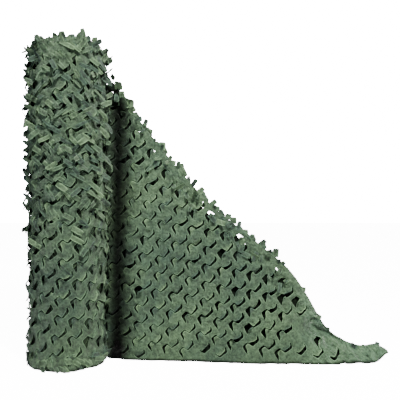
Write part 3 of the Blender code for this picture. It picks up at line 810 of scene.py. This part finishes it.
def build_loose_end(material):
    """Cut both layers flat, join them round the fold, bend their tongues and drape them."""
    first_along = along_at_x(BACK_START_X)
    ridge = ridge_line(first_along)
    root = np.linspace(0.0, first_along, 12)[:-1]
    foot = np.linspace(0.0, LENGTH, 74)
    sides = np.linspace(float(ridge_up(0.0)), 0.0, 70)[1:-1]
    outline = [(along, 0.0) for along in foot]
    outline += ridge_points(np.concatenate((root, ridge)))
    outline += [(0.0, up) for up in sides]

    def widen(along, up):
        return 1.0 + WIDER * wildness(along, up)
    front_slits = find_slits(SLIT_ORIGIN, loose_fits(0.0), widen, CUT_SEED)
    for spec in BORDER_SLITS:
        middle = np.array((along_at_x(spec["x"]), spec["up"]))
        front_slits.append(slit_at(spec["part"], middle, 0.0, 1.0, 1.0))
    bm = bmesh.new()
    fill_layer(bm, outline, front_slits, 0.0, -1.0)
    fold_over(bm, first_along)

    outline = [(along, 0.0) for along in foot if along > first_along + 0.01]
    outline = [(first_along, 0.0)] + outline
    outline += ridge_points(ridge)
    outline += [(first_along, up) for up in np.linspace(float(ridge_up(first_along)), 0.0, 60)[1:-1]]
    back_slits = find_slits(SLIT_ORIGIN, loose_fits(first_along), widen, CUT_SEED)
    behind = bmesh.new()
    fill_layer(behind, outline, back_slits, 2.0 * FOLD_RADIUS, 1.0)
    carried = to_mesh(behind, "carried")
    bm.from_mesh(carried)
    bpy.data.meshes.remove(carried)
    bmesh.ops.remove_doubles(bm, verts=bm.verts, dist=MERGE_DISTANCE)

    mesh = to_mesh(bm, "loose_end_cloth")
    layout = flat_places(mesh)
    rim = point_values(mesh, "rim")
    flat = layout[:, (0, 2)]
    in_front = layout[:, 1] < MERGE_DISTANCE
    in_back = layout[:, 1] > 2.0 * FOLD_RADIUS - MERGE_DISTANCE
    behind_share = np.clip(layout[:, 1] / (2.0 * FOLD_RADIUS), 0.0, 1.0)[:, None]
    front, back = front_surface(*flat.T), back_surface(*flat.T)
    places = front + (back - front) * behind_share
    places[:, 1] += layout[:, 1] - behind_share[:, 0] * 2.0 * FOLD_RADIUS
    tone = np.zeros(len(flat))
    for chosen, slits, surface, sign, seed in (
            (in_front, front_slits, front_surface, 1.0, 3), (in_back, back_slits, back_surface, -1.0, 4)):
        moved, out, shade = bend_tongues(flat[chosen], rim[chosen], slits, loose_curl, seed)
        ruffle = sum(deep * wander(layout[chosen], pitch, seed) for deep, pitch in LOOSE_RUFFLES)
        ruffle += border_creases(flat[chosen], seed) - hollow(flat[chosen])
        out = out + ruffle * smooth_step(flat[chosen][:, 0], 0.0, 0.05)
        places[chosen] = stand_out(surface, *moved.T, sign * out)
        tone[chosen] = shade
    places[:, 2] = np.maximum(places[:, 2], LOWEST)
    border = smooth_step(flat[:, 0], *CREASED_BORDER)
    # Painted shade in the valley beside the roll, on the front layer only.
    painted_light_and_shade = beside_roll(flat[:, 0]) * in_front
    # Painted light on the uncut border and the tail: values below zero.
    painted_light_and_shade -= UNCUT_PAINTED_LIGHT * border
    painted_light_and_shade -= TAIL_PAINTED_LIGHT * smooth_step(flat[:, 0], *TAIL_FROM)
    # Painted shade along the foot, but not on the uncut border.
    low = 1.0 - smooth_step(flat[:, 1], 0.0, FOOT_REACH)
    painted_light_and_shade += FOOT_PAINTED_SHADE * low * (1.0 - border)
    creased = SHEET_CREASED + (1.0 - SHEET_CREASED) * border
    return finish_cloth("loose_end_cloth", mesh, places, flat, tone, material, painted_light_and_shade, creased)


def build_fold_leaves(material):
    """Leaves that stand up out of the fold, and that curl out of the cloth just below it."""
    rows = []
    for spec in FOLD_LEAVES:
        dice = random.Random(spec["seed"])
        along, end = along_at_x(spec["from_x"]), along_at_x(spec["to_x"])
        while along < end:
            up = float(ridge_up(along)) + dice.uniform(*spec["depth"])
            heading = math.radians(dice.uniform(*spec["heading"]))
            ahead = (math.cos(heading), 0.0, math.sin(heading))
            side, surface = dice.choice(((-1.0, front_surface), (1.0, back_surface)))
            root = surface(np.array([along]), np.array([up]))[0]
            rows.append(leaf_row(dice, spec, root, ahead, (0.0, side, 0.0)))
            along += dice.uniform(*spec["step"])
    return build_leaves("loose_end_fold_leaves", rows, material)


def build_inside_layer(material):
    """A near-black layer that hangs inside the fold and closes the view through it: painted shade,
    standing for the shade between the two layers.
    """
    mesh, layout = grid_mesh("loose_end_inside_painted_shade", *INSIDE_GRID)
    start, end = along_at_x(INSIDE_FROM_X), along_at_x(INSIDE_TO_X)
    along = start + (layout[:, 0] + 0.5) * (end - start)
    top = ridge_up(along)
    top = np.maximum(top - INSIDE_DROP, INSIDE_LEAST_SHARE * top)
    up = (layout[:, 1] + 0.5) * top
    front, back = front_surface(along, up), back_surface(along, up)
    places = front.copy()
    depth = INSIDE_DEPTH * (0.25 + 0.75 * smooth_step(up, 0.0, 0.15))
    places[:, 1] += np.maximum(depth * (back - front)[:, 1], INSIDE_LEAST_DEPTH)
    places[:, 1] += INSIDE_RUFFLE[0] * wander(places, INSIDE_RUFFLE[1], 21)
    flat = np.stack((along, up), axis=1)
    clear = INSIDE_CLEAR * smooth_step(along, *BORDER_CREASES["over"]) * smooth_step(up, 0.02, 0.08)
    places[:, 1] += hollow(flat) + clear
    return finish_cloth("loose_end_inside_painted_shade", mesh, places, flat, np.zeros(len(flat)), material)


# ---- Shape of the roll --------------------------------------------------------------------------

def length_round():
    return 2.0 * math.pi * sizes().roll_radius


def roll_swell(height):
    return np.interp(height, column(ROLL_PROFILE, "height"), column(ROLL_PROFILE, "swell"))


def roll_surface(first_turn):
    """Surface of one turn, for a distance round the roll and up it."""
    around = length_round()

    def surface(along, up):
        turn = first_turn + along / around
        angle = LEAVING_ANGLE + 2.0 * math.pi * along / around
        radius = sizes().roll_radius + 0.5 * sizes().turn_step - sizes().turn_step * turn
        radius = radius + roll_swell(up)
        return np.stack((radius * np.cos(angle), radius * np.sin(angle), up), axis=1)
    return surface


def rim_drop(angle):
    """How much lower the upper edge is, away from the front of the roll."""
    return RIM_DROP * (1.0 - float(smooth_step(-math.sin(angle), 0.0, 0.8)))


def roll_curl(along, up, name, dice):
    """Curl of a tongue on the roll: ruffled above, flatter below."""
    curl = sizes().roll_curl * (0.60 + 0.40 * float(smooth_step(up, 0.1, 1.0)))
    return curl * dice.uniform(-0.2 if name == "lower" else 0.3, 1.3)


def ragged(start, end, level, rise, dice):
    """Points along an upper or lower edge that was cut through its leaves."""
    points, along = [], start
    while along < end - 0.02:
        wide, tall = dice.uniform(*RAGGED_WIDE), dice.uniform(*RAGGED_TALL) * rise
        lean_by = dice.uniform(*RAGGED_LEAN)
        for share, height in ((0.0, 0.0), (0.7 * lean_by, 0.75), (lean_by, 1.0),
                              (1.0 - 0.6 * (1.0 - lean_by), 0.8)):
            if along + wide * share < end - 0.004:
                points.append((along + wide * share, level + tall * height))
        along += wide
    return points + [(end, level)]


def build_turn(name, material, first_turn, origin, seed, halvings):
    """One turn of cut cloth round the roll."""
    dice = random.Random(seed)
    start, end = TURN_START, length_round() + TURN_OVERLAP
    top = [(along, up - rim_drop(LEAVING_ANGLE + along / sizes().roll_radius))
           for along, up in ragged(start, end, NET_WIDTH + TURN_LEVEL, TURN_RISE, dice)]
    outline = [(along, 0.0) for along in np.linspace(start, end, 60)[:-1]]
    outline += [(end, up) for up in np.linspace(0.0, top[-1][1], 70)[:-1]]
    outline += top[::-1]
    outline += [(start, up) for up in np.linspace(top[0][1], 0.0, 70)[1:-1]]

    def fits(slit):
        along, up = slit.T
        return (along.min() > start + EDGE_MARGIN and along.max() < end - EDGE_MARGIN
                and up.min() > EDGE_MARGIN and up.max() < NET_WIDTH - TOP_MARGIN)
    slits = find_slits(origin, fits, lambda along, up: ROLL_WIDEN, seed)
    bm = bmesh.new()
    fill_layer(bm, outline, slits, 0.0, -1.0, halvings)
    mesh = to_mesh(bm, name)
    layout = flat_places(mesh)
    flat = layout[:, (0, 2)]
    moved, out, tone = bend_tongues(flat, point_values(mesh, "rim"), slits, roll_curl, seed)
    surface = roll_surface(first_turn)
    base = roll_surface(0.0)(*moved.T)
    out += sum(deep * wander(base, pitch, ROLL_RUFFLE + number)
               for number, (deep, pitch) in enumerate(ROLL_RUFFLES))
    rim = smooth_step(flat[:, 1], NET_WIDTH + RIM_FROM, NET_WIDTH + RIM_TO)
    out += RIM_RUFFLE[0] * rim * wander(base, RIM_RUFFLE[1], seed + 2)
    places = stand_out(surface, *moved.T, out)
    places[:, 2] = np.maximum(places[:, 2], LOWEST_TURN)
    return finish_cloth(name, mesh, places, flat, tone, material)


def out_and_ahead(angle, heading):
    """The way out of the roll at an angle round it, and a leaf's heading along its side."""
    out = np.array((math.cos(angle), math.sin(angle), 0.0))
    ahead = math.cos(heading) * np.array((-out[1], out[0], 0.0))
    ahead[2] = math.sin(heading)
    return out, ahead


def build_roll_leaves(material):
    """Leaves of the wound turns that stand out all over the roll."""
    dice = random.Random(ROLL_LEAVES["seed"])
    count_round, count_up = ROLL_LEAVES["around"], ROLL_LEAVES["up"]
    rows = []
    low, high = (math.radians(limit) for limit in ROOT_TUFT["angle"])
    for number in range(count_round * count_up):
        level, place = divmod(number, count_round)
        height = (level + 0.5) * NET_WIDTH / count_up + dice.uniform(-1.0, 1.0) * ROLL_LEAVES["jitter"]
        radius = sizes().roll_radius + float(roll_swell(height))
        radius += dice.uniform(-LEAF_ROOT_SPREAD, LEAF_ROOT_SPREAD)
        angle = 2.0 * math.pi * (place + 0.5 * (level % 2)) / count_round
        angle += dice.uniform(-1.0, 1.0) * ROLL_LEAVES["jitter"] / radius
        heading = dice.choice(LEAF_HEADINGS) + dice.uniform(-LEAF_HEADING_SPREAD, LEAF_HEADING_SPREAD)
        out, ahead = out_and_ahead(angle, math.radians(heading))
        ruffled = float(smooth_step(height, *RUFFLED_FROM))
        lift_share = LEAST_LIFT + (1.0 - LEAST_LIFT) * ruffled
        if low < angle < high and height > ROOT_TUFT["height"]:
            lift_share = ROOT_TUFT["lift_share"]
        root = radius * out + np.array((0.0, 0.0, height))
        row = leaf_row(dice, ROLL_LEAVES, root, ahead, out, lift_share)
        if dice.random() < ruffled:
            rows.append(row)
    for spec in (RIM_LEAVES, FOOT_LEAVES):
        dice = random.Random(spec["seed"])
        for number in range(spec["around"]):
            angle = 2.0 * math.pi * (number + dice.uniform(-0.4, 0.4)) / spec["around"]
            out, ahead = out_and_ahead(angle, math.radians(dice.uniform(*spec["heading"])))
            root = (sizes().roll_radius - dice.uniform(*spec["set_back"])) * out
            root[2] = dice.uniform(*spec["height"]) - (rim_drop(angle) if spec is RIM_LEAVES else 0.0)
            rows.append(leaf_row(dice, spec, root, ahead, out))
    return build_leaves("roll_leaves", rows, material, ROLL_LEAVES["furthest"])


def build_core(material):
    """The turns inside, as one closed wound form that shows only between the leaves."""
    radius = sizes().roll_radius - CORE_TURNS * sizes().turn_step
    bm = bmesh.new()
    bmesh.ops.create_cone(bm, cap_ends=True, segments=CORE_SEGMENTS, radius1=radius, radius2=radius,
                          depth=NET_WIDTH - CORE_DROP)
    middle = 0.5 * (NET_WIDTH - CORE_DROP) + CORE_LIFT
    bmesh.ops.translate(bm, verts=bm.verts, vec=(0.0, 0.0, middle))
    long_edges = [edge for edge in bm.edges if edge.calc_length() > 1.0]
    bmesh.ops.subdivide_edges(bm, edges=long_edges, cuts=CORE_CUTS)
    for _ in range(CORE_CAP_RINGS):
        caps = [face for face in bm.faces if len(face.verts) > 4]
        bmesh.ops.inset_individual(bm, faces=caps, thickness=CORE_CAP_SHARE * radius / CORE_CAP_RINGS)
    mesh = to_mesh(bm, "roll_wound_core")
    places = flat_places(mesh)
    side = np.hypot(places[:, 0], places[:, 1])
    push = CORE_RUFFLE[0] * wander(places, CORE_RUFFLE[1], 12)
    push *= smooth_step(side, CORE_CAP_SHARE * radius, radius)
    scale = 1.0 + push / np.maximum(side, 0.01)
    flat = np.stack((np.arctan2(places[:, 1], places[:, 0]) * radius, places[:, 2]), axis=1)
    places[:, :2] *= scale[:, None]
    return finish_cloth("roll_wound_core", mesh, places, flat, np.zeros(len(flat)), material)


def outermost_inner_turn():
    return sizes().roll_radius - UPPER["turns_in"] * sizes().turn_step


def build_upper_turns(material):
    """The edges of the inner turns, which show on the upper end of the roll."""
    dice = random.Random(31)
    turns = sizes().turns
    outer, inner = outermost_inner_turn(), UPPER["inner"]
    pitch = (outer - inner) / turns
    columns = UPPER["columns"] * turns
    mesh, layout = grid_mesh("roll_upper_turns", columns, UPPER["rows"])
    turn = (layout[:, 0] + 0.5) * turns
    level = layout[:, 1] + 0.5
    tips = np.array([dice.uniform(0.0, 1.0) for _ in range(columns + 1)])
    number = np.rint((layout[:, 0] + 0.5) * columns).astype(int)
    radius = outer - pitch * turn
    angle = LEAVING_ANGLE + UPPER["start"] + 2.0 * math.pi * turn
    height = NET_WIDTH - UPPER["drop"] + level * (UPPER["rise"] + UPPER["tips"] * tips[number])
    places = np.stack((radius * np.cos(angle), radius * np.sin(angle), height), axis=1)
    sway = UPPER["sway"] * pitch * wander(places, UPPER["sway_pitch"], 41) * level
    places[:, 0] += sway * np.cos(angle)
    places[:, 1] += sway * np.sin(angle)
    flat = np.stack((turn * 2.0 * math.pi * 0.5 * (outer + inner), height), axis=1)
    tone = tips[number] * 2.0 - 1.0
    return finish_cloth("roll_upper_turns", mesh, places, flat, tone, material)


# ---- Cloth materials ----------------------------------------------------------------------------

def set_inputs(node, values):
    for name, value in values.items():
        node.inputs[name].default_value = value


def new_material(name):
    material = bpy.data.materials.new(name)
    material.use_nodes = True
    return material, material.node_tree.nodes, material.node_tree.links


def weave_group():
    """Node group of the cut polyester cloth: its green, its roughness and its threads, with painted
    light, shade and highlights laid on the green.
    """
    found = bpy.data.node_groups.get("Leaf cloth")
    if found:
        return found
    group = bpy.data.node_groups.new("Leaf cloth", "ShaderNodeTree")
    for name, way, kind, default in (
            ("Leaf", "INPUT", "Color", None), ("Shade", "INPUT", "Color", None),
            ("Thread Pitch", "INPUT", "Float", THREAD_PITCH), ("Gloss", "INPUT", "Float", 0.35),
            ("Color", "OUTPUT", "Color", None), ("Roughness", "OUTPUT", "Float", None),
            ("Height", "OUTPUT", "Float", None), ("Gloss", "OUTPUT", "Float", None)):
        socket = group.interface.new_socket(name=name, in_out=way, socket_type="NodeSocket" + kind)
        if default is not None:
            socket.default_value = default
    nodes, links = group.nodes, group.links
    entry, result = nodes.new("NodeGroupInput"), nodes.new("NodeGroupOutput")

    def math_node(kind, *values):
        node = nodes.new("ShaderNodeMath")
        node.operation = kind
        for socket, value in zip(node.inputs, values):
            if isinstance(value, (int, float)):
                socket.default_value = value
            else:
                links.new(value, socket)
        return node.outputs[0]

    plus, minus, times = (functools.partial(math_node, kind) for kind in ("ADD", "SUBTRACT", "MULTIPLY"))
    uv = nodes.new("ShaderNodeUVMap")
    uv.uv_map = "Cloth"
    parts = nodes.new("ShaderNodeSeparateXYZ")
    links.new(uv.outputs["UV"], parts.inputs[0])
    turns = math_node("DIVIDE", 2.0 * math.pi, entry.outputs["Thread Pitch"])
    warp, weft = (math_node("SINE", times(parts.outputs[axis], turns)) for axis in "XY")
    threads = times(warp, weft)
    place = nodes.new("ShaderNodeTexCoord")

    def along_run(run, pitch):
        node = nodes.new("ShaderNodeVectorMath")
        node.operation = "DOT_PRODUCT"
        links.new(uv.outputs["UV"], node.inputs[0])
        node.inputs[1].default_value = (run[0] / pitch, run[1] / pitch, 0.0)
        return node.outputs["Value"]

    grain = nodes.new("ShaderNodeCombineXYZ")
    run = BORDER_CREASES["run"]
    links.new(along_run((run[1], run[0]), STREAK_WIDE), grain.inputs["X"])
    links.new(along_run((run[0], -run[1]), STREAK_LONG), grain.inputs["Y"])

    def noise_of(scale, detail, roughness=0.5, where=place.outputs["Object"]):
        node = nodes.new("ShaderNodeTexNoise")
        set_inputs(node, {"Scale": scale, "Detail": detail, "Roughness": roughness})
        links.new(where, node.inputs["Vector"])
        return node.outputs["Fac"]

    def attribute(name):
        node = nodes.new("ShaderNodeAttribute")
        node.attribute_name = name
        return node.outputs["Fac"]

    def map_range(value, limits):
        node = nodes.new("ShaderNodeMapRange")
        set_inputs(node, limits)
        links.new(value, node.inputs["Value"])
        return node.outputs[0]

    patches, mottle, crumple = noise_of(3.2, 2.0), noise_of(38.0, 3.0), noise_of(110.0, 4.0, 0.7)
    puffs = noise_of(46.0, 2.0)
    leaf_tone, rim, painted_light_and_shade = attribute("leaf_tone"), attribute("rim"), attribute("painted_light_and_shade")
    streaks = times(minus(noise_of(1.0, 3.0, 0.6, grain.outputs[0]), 0.5), attribute("creased"))

    # Colour: from shade to leaf by patches, mottling and each leaf's own tone.
    mixed = plus(plus(times(patches, 0.9), times(mottle, 0.5)), times(leaf_tone, 0.42))
    blend = nodes.new("ShaderNodeMix")
    blend.data_type = "RGBA"
    links.new(map_range(mixed, {"From Min": 0.42, "From Max": 0.98}), blend.inputs["Factor"])
    links.new(entry.outputs["Shade"], blend.inputs["A"])
    links.new(entry.outputs["Leaf"], blend.inputs["B"])

    # Brightness: threads, crumple, a painted highlight along the cut edges, painted light and shade along
    # the crease streaks, puffs and each leaf's tone; dimmed by the painted shade and by a painted contact
    # shadow at the foot.
    bright = times(threads, 0.05)
    for value, share in ((crumple, 2.60), (rim, 1.6), (streaks, 2.2), (minus(puffs, 0.5), 1.4),
                         (leaf_tone, 0.14)):
        bright = plus(bright, times(value, share))
    # A painted contact shadow along the lowest 15 mm of the flat cloth, where it meets the floor.
    painted_contact_shadow = map_range(parts.outputs["Y"], {"From Min": 0.004, "From Max": 0.015, "To Min": 0.12})
    dimmed = times(minus(1.0, times(painted_light_and_shade, 0.96)), painted_contact_shadow)
    speckle = nodes.new("ShaderNodeHueSaturation")
    links.new(times(minus(bright, 0.30), dimmed), speckle.inputs["Value"])
    links.new(blend.outputs["Result"], speckle.inputs["Color"])

    # Where shade is painted, roughness rises and the gloss is dimmed, so the painted shade stays dark.
    rough = plus(plus(times(mottle, 0.30), 0.42), times(painted_light_and_shade, 0.50))
    height = times(threads, 0.10)
    for value, share in ((crumple, 1.0), (puffs, 5.0), (streaks, 4.0)):
        height = plus(height, times(value, share))
    for name, value in (("Color", speckle.outputs["Color"]), ("Roughness", rough), ("Height", height),
                        ("Gloss", times(entry.outputs["Gloss"], dimmed))):
        links.new(value, result.inputs[name])
    return group


def cloth_material(name, painted_shade_scale=1.0, gloss=0.35):
    """Woven polyester netting. Its green is scaled down as painted shade: a little for the roll's outer
    cloth, much more for the turns inside and the layer inside the fold.
    """
    material, nodes, links = new_material(name)
    shader, bump = nodes["Principled BSDF"], nodes.new("ShaderNodeBump")
    cloth = nodes.new("ShaderNodeGroup")
    cloth.node_tree = weave_group()
    leaf, shade = ((*(part * painted_shade_scale for part in colour), 1.0)
                   for colour in (colours().leaf, colours().shade))
    set_inputs(cloth, {"Leaf": leaf, "Shade": shade, "Thread Pitch": THREAD_PITCH, "Gloss": gloss})
    set_inputs(bump, {"Strength": 0.6, "Distance": 0.018})
    set_inputs(shader, {"Sheen Weight": 0.14 * gloss, "Sheen Roughness": 0.5})
    for node, output, into, entry in (
            (cloth, "Color", shader, "Base Color"), (cloth, "Roughness", shader, "Roughness"),
            (cloth, "Height", bump, "Height"), (bump, "Normal", shader, "Normal"),
            (cloth, "Gloss", shader, "Specular IOR Level")):
        links.new(node.outputs[output], into.inputs[entry])
    return material


def studio_world():
    """A soft dim light all round, in front of a white backdrop."""
    world = bpy.data.worlds.new("Studio")
    world.use_nodes = True
    nodes, links = world.node_tree.nodes, world.node_tree.links
    light, white = nodes["Background"], nodes.new("ShaderNodeBackground")
    set_inputs(light, {"Color": (0.93, 0.97, 1.0, 1.0), "Strength": WORLD_LIGHT})
    set_inputs(white, {"Color": (1.0, 1.0, 1.0, 1.0), "Strength": BACKDROP})
    seen, mix = nodes.new("ShaderNodeLightPath"), nodes.new("ShaderNodeMixShader")
    links.new(seen.outputs["Is Camera Ray"], mix.inputs["Fac"])
    links.new(light.outputs[0], mix.inputs[1])
    links.new(white.outputs[0], mix.inputs[2])
    links.new(mix.outputs[0], nodes["World Output"].inputs["Surface"])
    return world


def floor_material():
    """Pale floor that looks as white as the backdrop, but takes a faint shadow."""
    material, nodes, links = new_material("Pale floor")
    seen, glow = nodes.new("ShaderNodeLightPath"), nodes.new("ShaderNodeMath")
    glow.operation = "MULTIPLY"
    glow.inputs[1].default_value = FLOOR_GLOW
    links.new(seen.outputs["Is Camera Ray"], glow.inputs[0])
    shader = nodes["Principled BSDF"]
    set_inputs(shader, {"Base Color": (*colours().floor, 1.0), "Roughness": 0.9,
                        "Emission Color": (1.0, 1.0, 1.0, 1.0)})
    links.new(glow.outputs[0], shader.inputs["Emission Strength"])
    return material


# ---- Operators ----------------------------------------------------------------------------------

class NETTING_OT_loose_end(bpy.types.Operator):
    """Build the loose end: both layers of it, folded over along the top"""
    bl_idname = "netting.loose_end"
    bl_label = "Loose End"

    def execute(self, context):
        obj = build_loose_end(cloth_material("Netting, loose end"))
        solid = obj.modifiers.new("Cloth", "SOLIDIFY")
        solid.thickness = sizes().cloth
        solid.offset = 0.0
        # The layer inside the fold: a near-black, nearly glossless copy of the cloth, as painted shade.
        inside = build_inside_layer(cloth_material("Netting, inside the fold, painted shade", INSIDE_PAINTED_SHADE, 0.05))
        leaves = build_fold_leaves(cloth_material("Netting, leaves of the fold"))
        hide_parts("loose_end")
        for piece in (obj, inside, leaves):
            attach(piece, "root")
        return {"FINISHED"}


class NETTING_OT_roll(bpy.types.Operator):
    """Build the roll: its last two turns of cut cloth round the wound core"""
    bl_idname = "netting.roll"
    bl_label = "Roll"

    def execute(self, context):
        # The roll's cloth takes copies of the green scaled down as painted shade: a little for the outer
        # turn and its leaves, much more, with less gloss, for the turn below and the wound core, which
        # show in the gaps.
        outer = build_turn("roll_outer_turn", cloth_material("Netting, outer turn", 0.84), **OUTER_TURN)
        under = build_turn("roll_under_turn", cloth_material("Netting, turn below, painted shade", 0.24, 0.10),
                           **UNDER_TURN)
        core = build_core(cloth_material("Netting, wound core, painted shade", 0.07, 0.05))
        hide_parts("roll")
        leaves = build_roll_leaves(cloth_material("Netting, leaves of the roll", 0.84))
        for obj in (outer, under, core, leaves):
            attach(obj, "root")
        return {"FINISHED"}


class NETTING_OT_upper_turns(bpy.types.Operator):
    """Build the edges of the inner turns on the upper end of the roll"""
    bl_idname = "netting.upper_turns"
    bl_label = "Upper Turns"

    def execute(self, context):
        obj = build_upper_turns(cloth_material("Netting, inner turns"))
        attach(obj, "root")
        return {"FINISHED"}


class NETTING_OT_stage(bpy.types.Operator):
    """Lay the plain pale floor and place the lights and the camera"""
    bl_idname = "netting.stage"
    bl_label = "Stage"

    def execute(self, context):
        scene = context.scene
        bm = bmesh.new()
        bmesh.ops.create_grid(bm, x_segments=1, y_segments=1, size=FLOOR_SIZE)
        floor = bpy.data.objects.new("floor", to_mesh(bm, "floor"))
        floor.data.materials.append(floor_material())
        scene.collection.objects.link(floor)
        scene.world = studio_world()
        for row in LIGHTS:
            light = bpy.data.lights.new(row["name"], "AREA")
            light.size, light.energy, light.color = row["size"], row["power"], row["colour"]
            lamp = bpy.data.objects.new(row["name"], light)
            lamp.location = row["place"]
            towards = Vector(row["aim"]) - Vector(row["place"])
            lamp.rotation_euler = towards.to_track_quat("-Z", "Y").to_euler()
            scene.collection.objects.link(lamp)
        lens = bpy.data.cameras.new("camera")
        lens.sensor_width, lens.lens, lens.shift_y = SENSOR_WIDTH, LENS, SHIFT_Y
        camera = bpy.data.objects.new("camera", lens)
        camera.location = CAMERA_PLACE
        camera.rotation_euler = (math.pi / 2.0, 0.0, 0.0)
        scene.collection.objects.link(camera)
        scene.camera = camera
        return {"FINISHED"}


class NETTING_PT_panel(bpy.types.Panel):
    bl_idname = "NETTING_PT_panel"
    bl_label = "Camouflage Netting"
    bl_space_type = "VIEW_3D"
    bl_region_type = "UI"
    bl_category = "Netting"

    def draw(self, context):
        for group in (context.scene.netting_sizes, context.scene.netting_colours):
            for name in group.__annotations__:
                self.layout.prop(group, name)
        for operator in OPERATORS:
            self.layout.operator(operator.bl_idname)


OPERATORS = (NETTING_OT_stage, NETTING_OT_loose_end, NETTING_OT_roll, NETTING_OT_upper_turns)
CLASSES = (NettingSizes, NettingColours, *OPERATORS, NETTING_PT_panel)


def register():
    for item in CLASSES:
        bpy.utils.register_class(item)
    bpy.types.Scene.netting_sizes = PointerProperty(type=NettingSizes)
    bpy.types.Scene.netting_colours = PointerProperty(type=NettingColours)


def unregister():
    del bpy.types.Scene.netting_colours
    del bpy.types.Scene.netting_sizes
    for item in reversed(CLASSES):
        bpy.utils.unregister_class(item)


def main():
    register()
    bpy.ops.netting.stage()
    bpy.ops.netting.loose_end()
    bpy.ops.netting.roll()
    bpy.ops.netting.upper_turns()


if __name__ == "__main__":
    main()
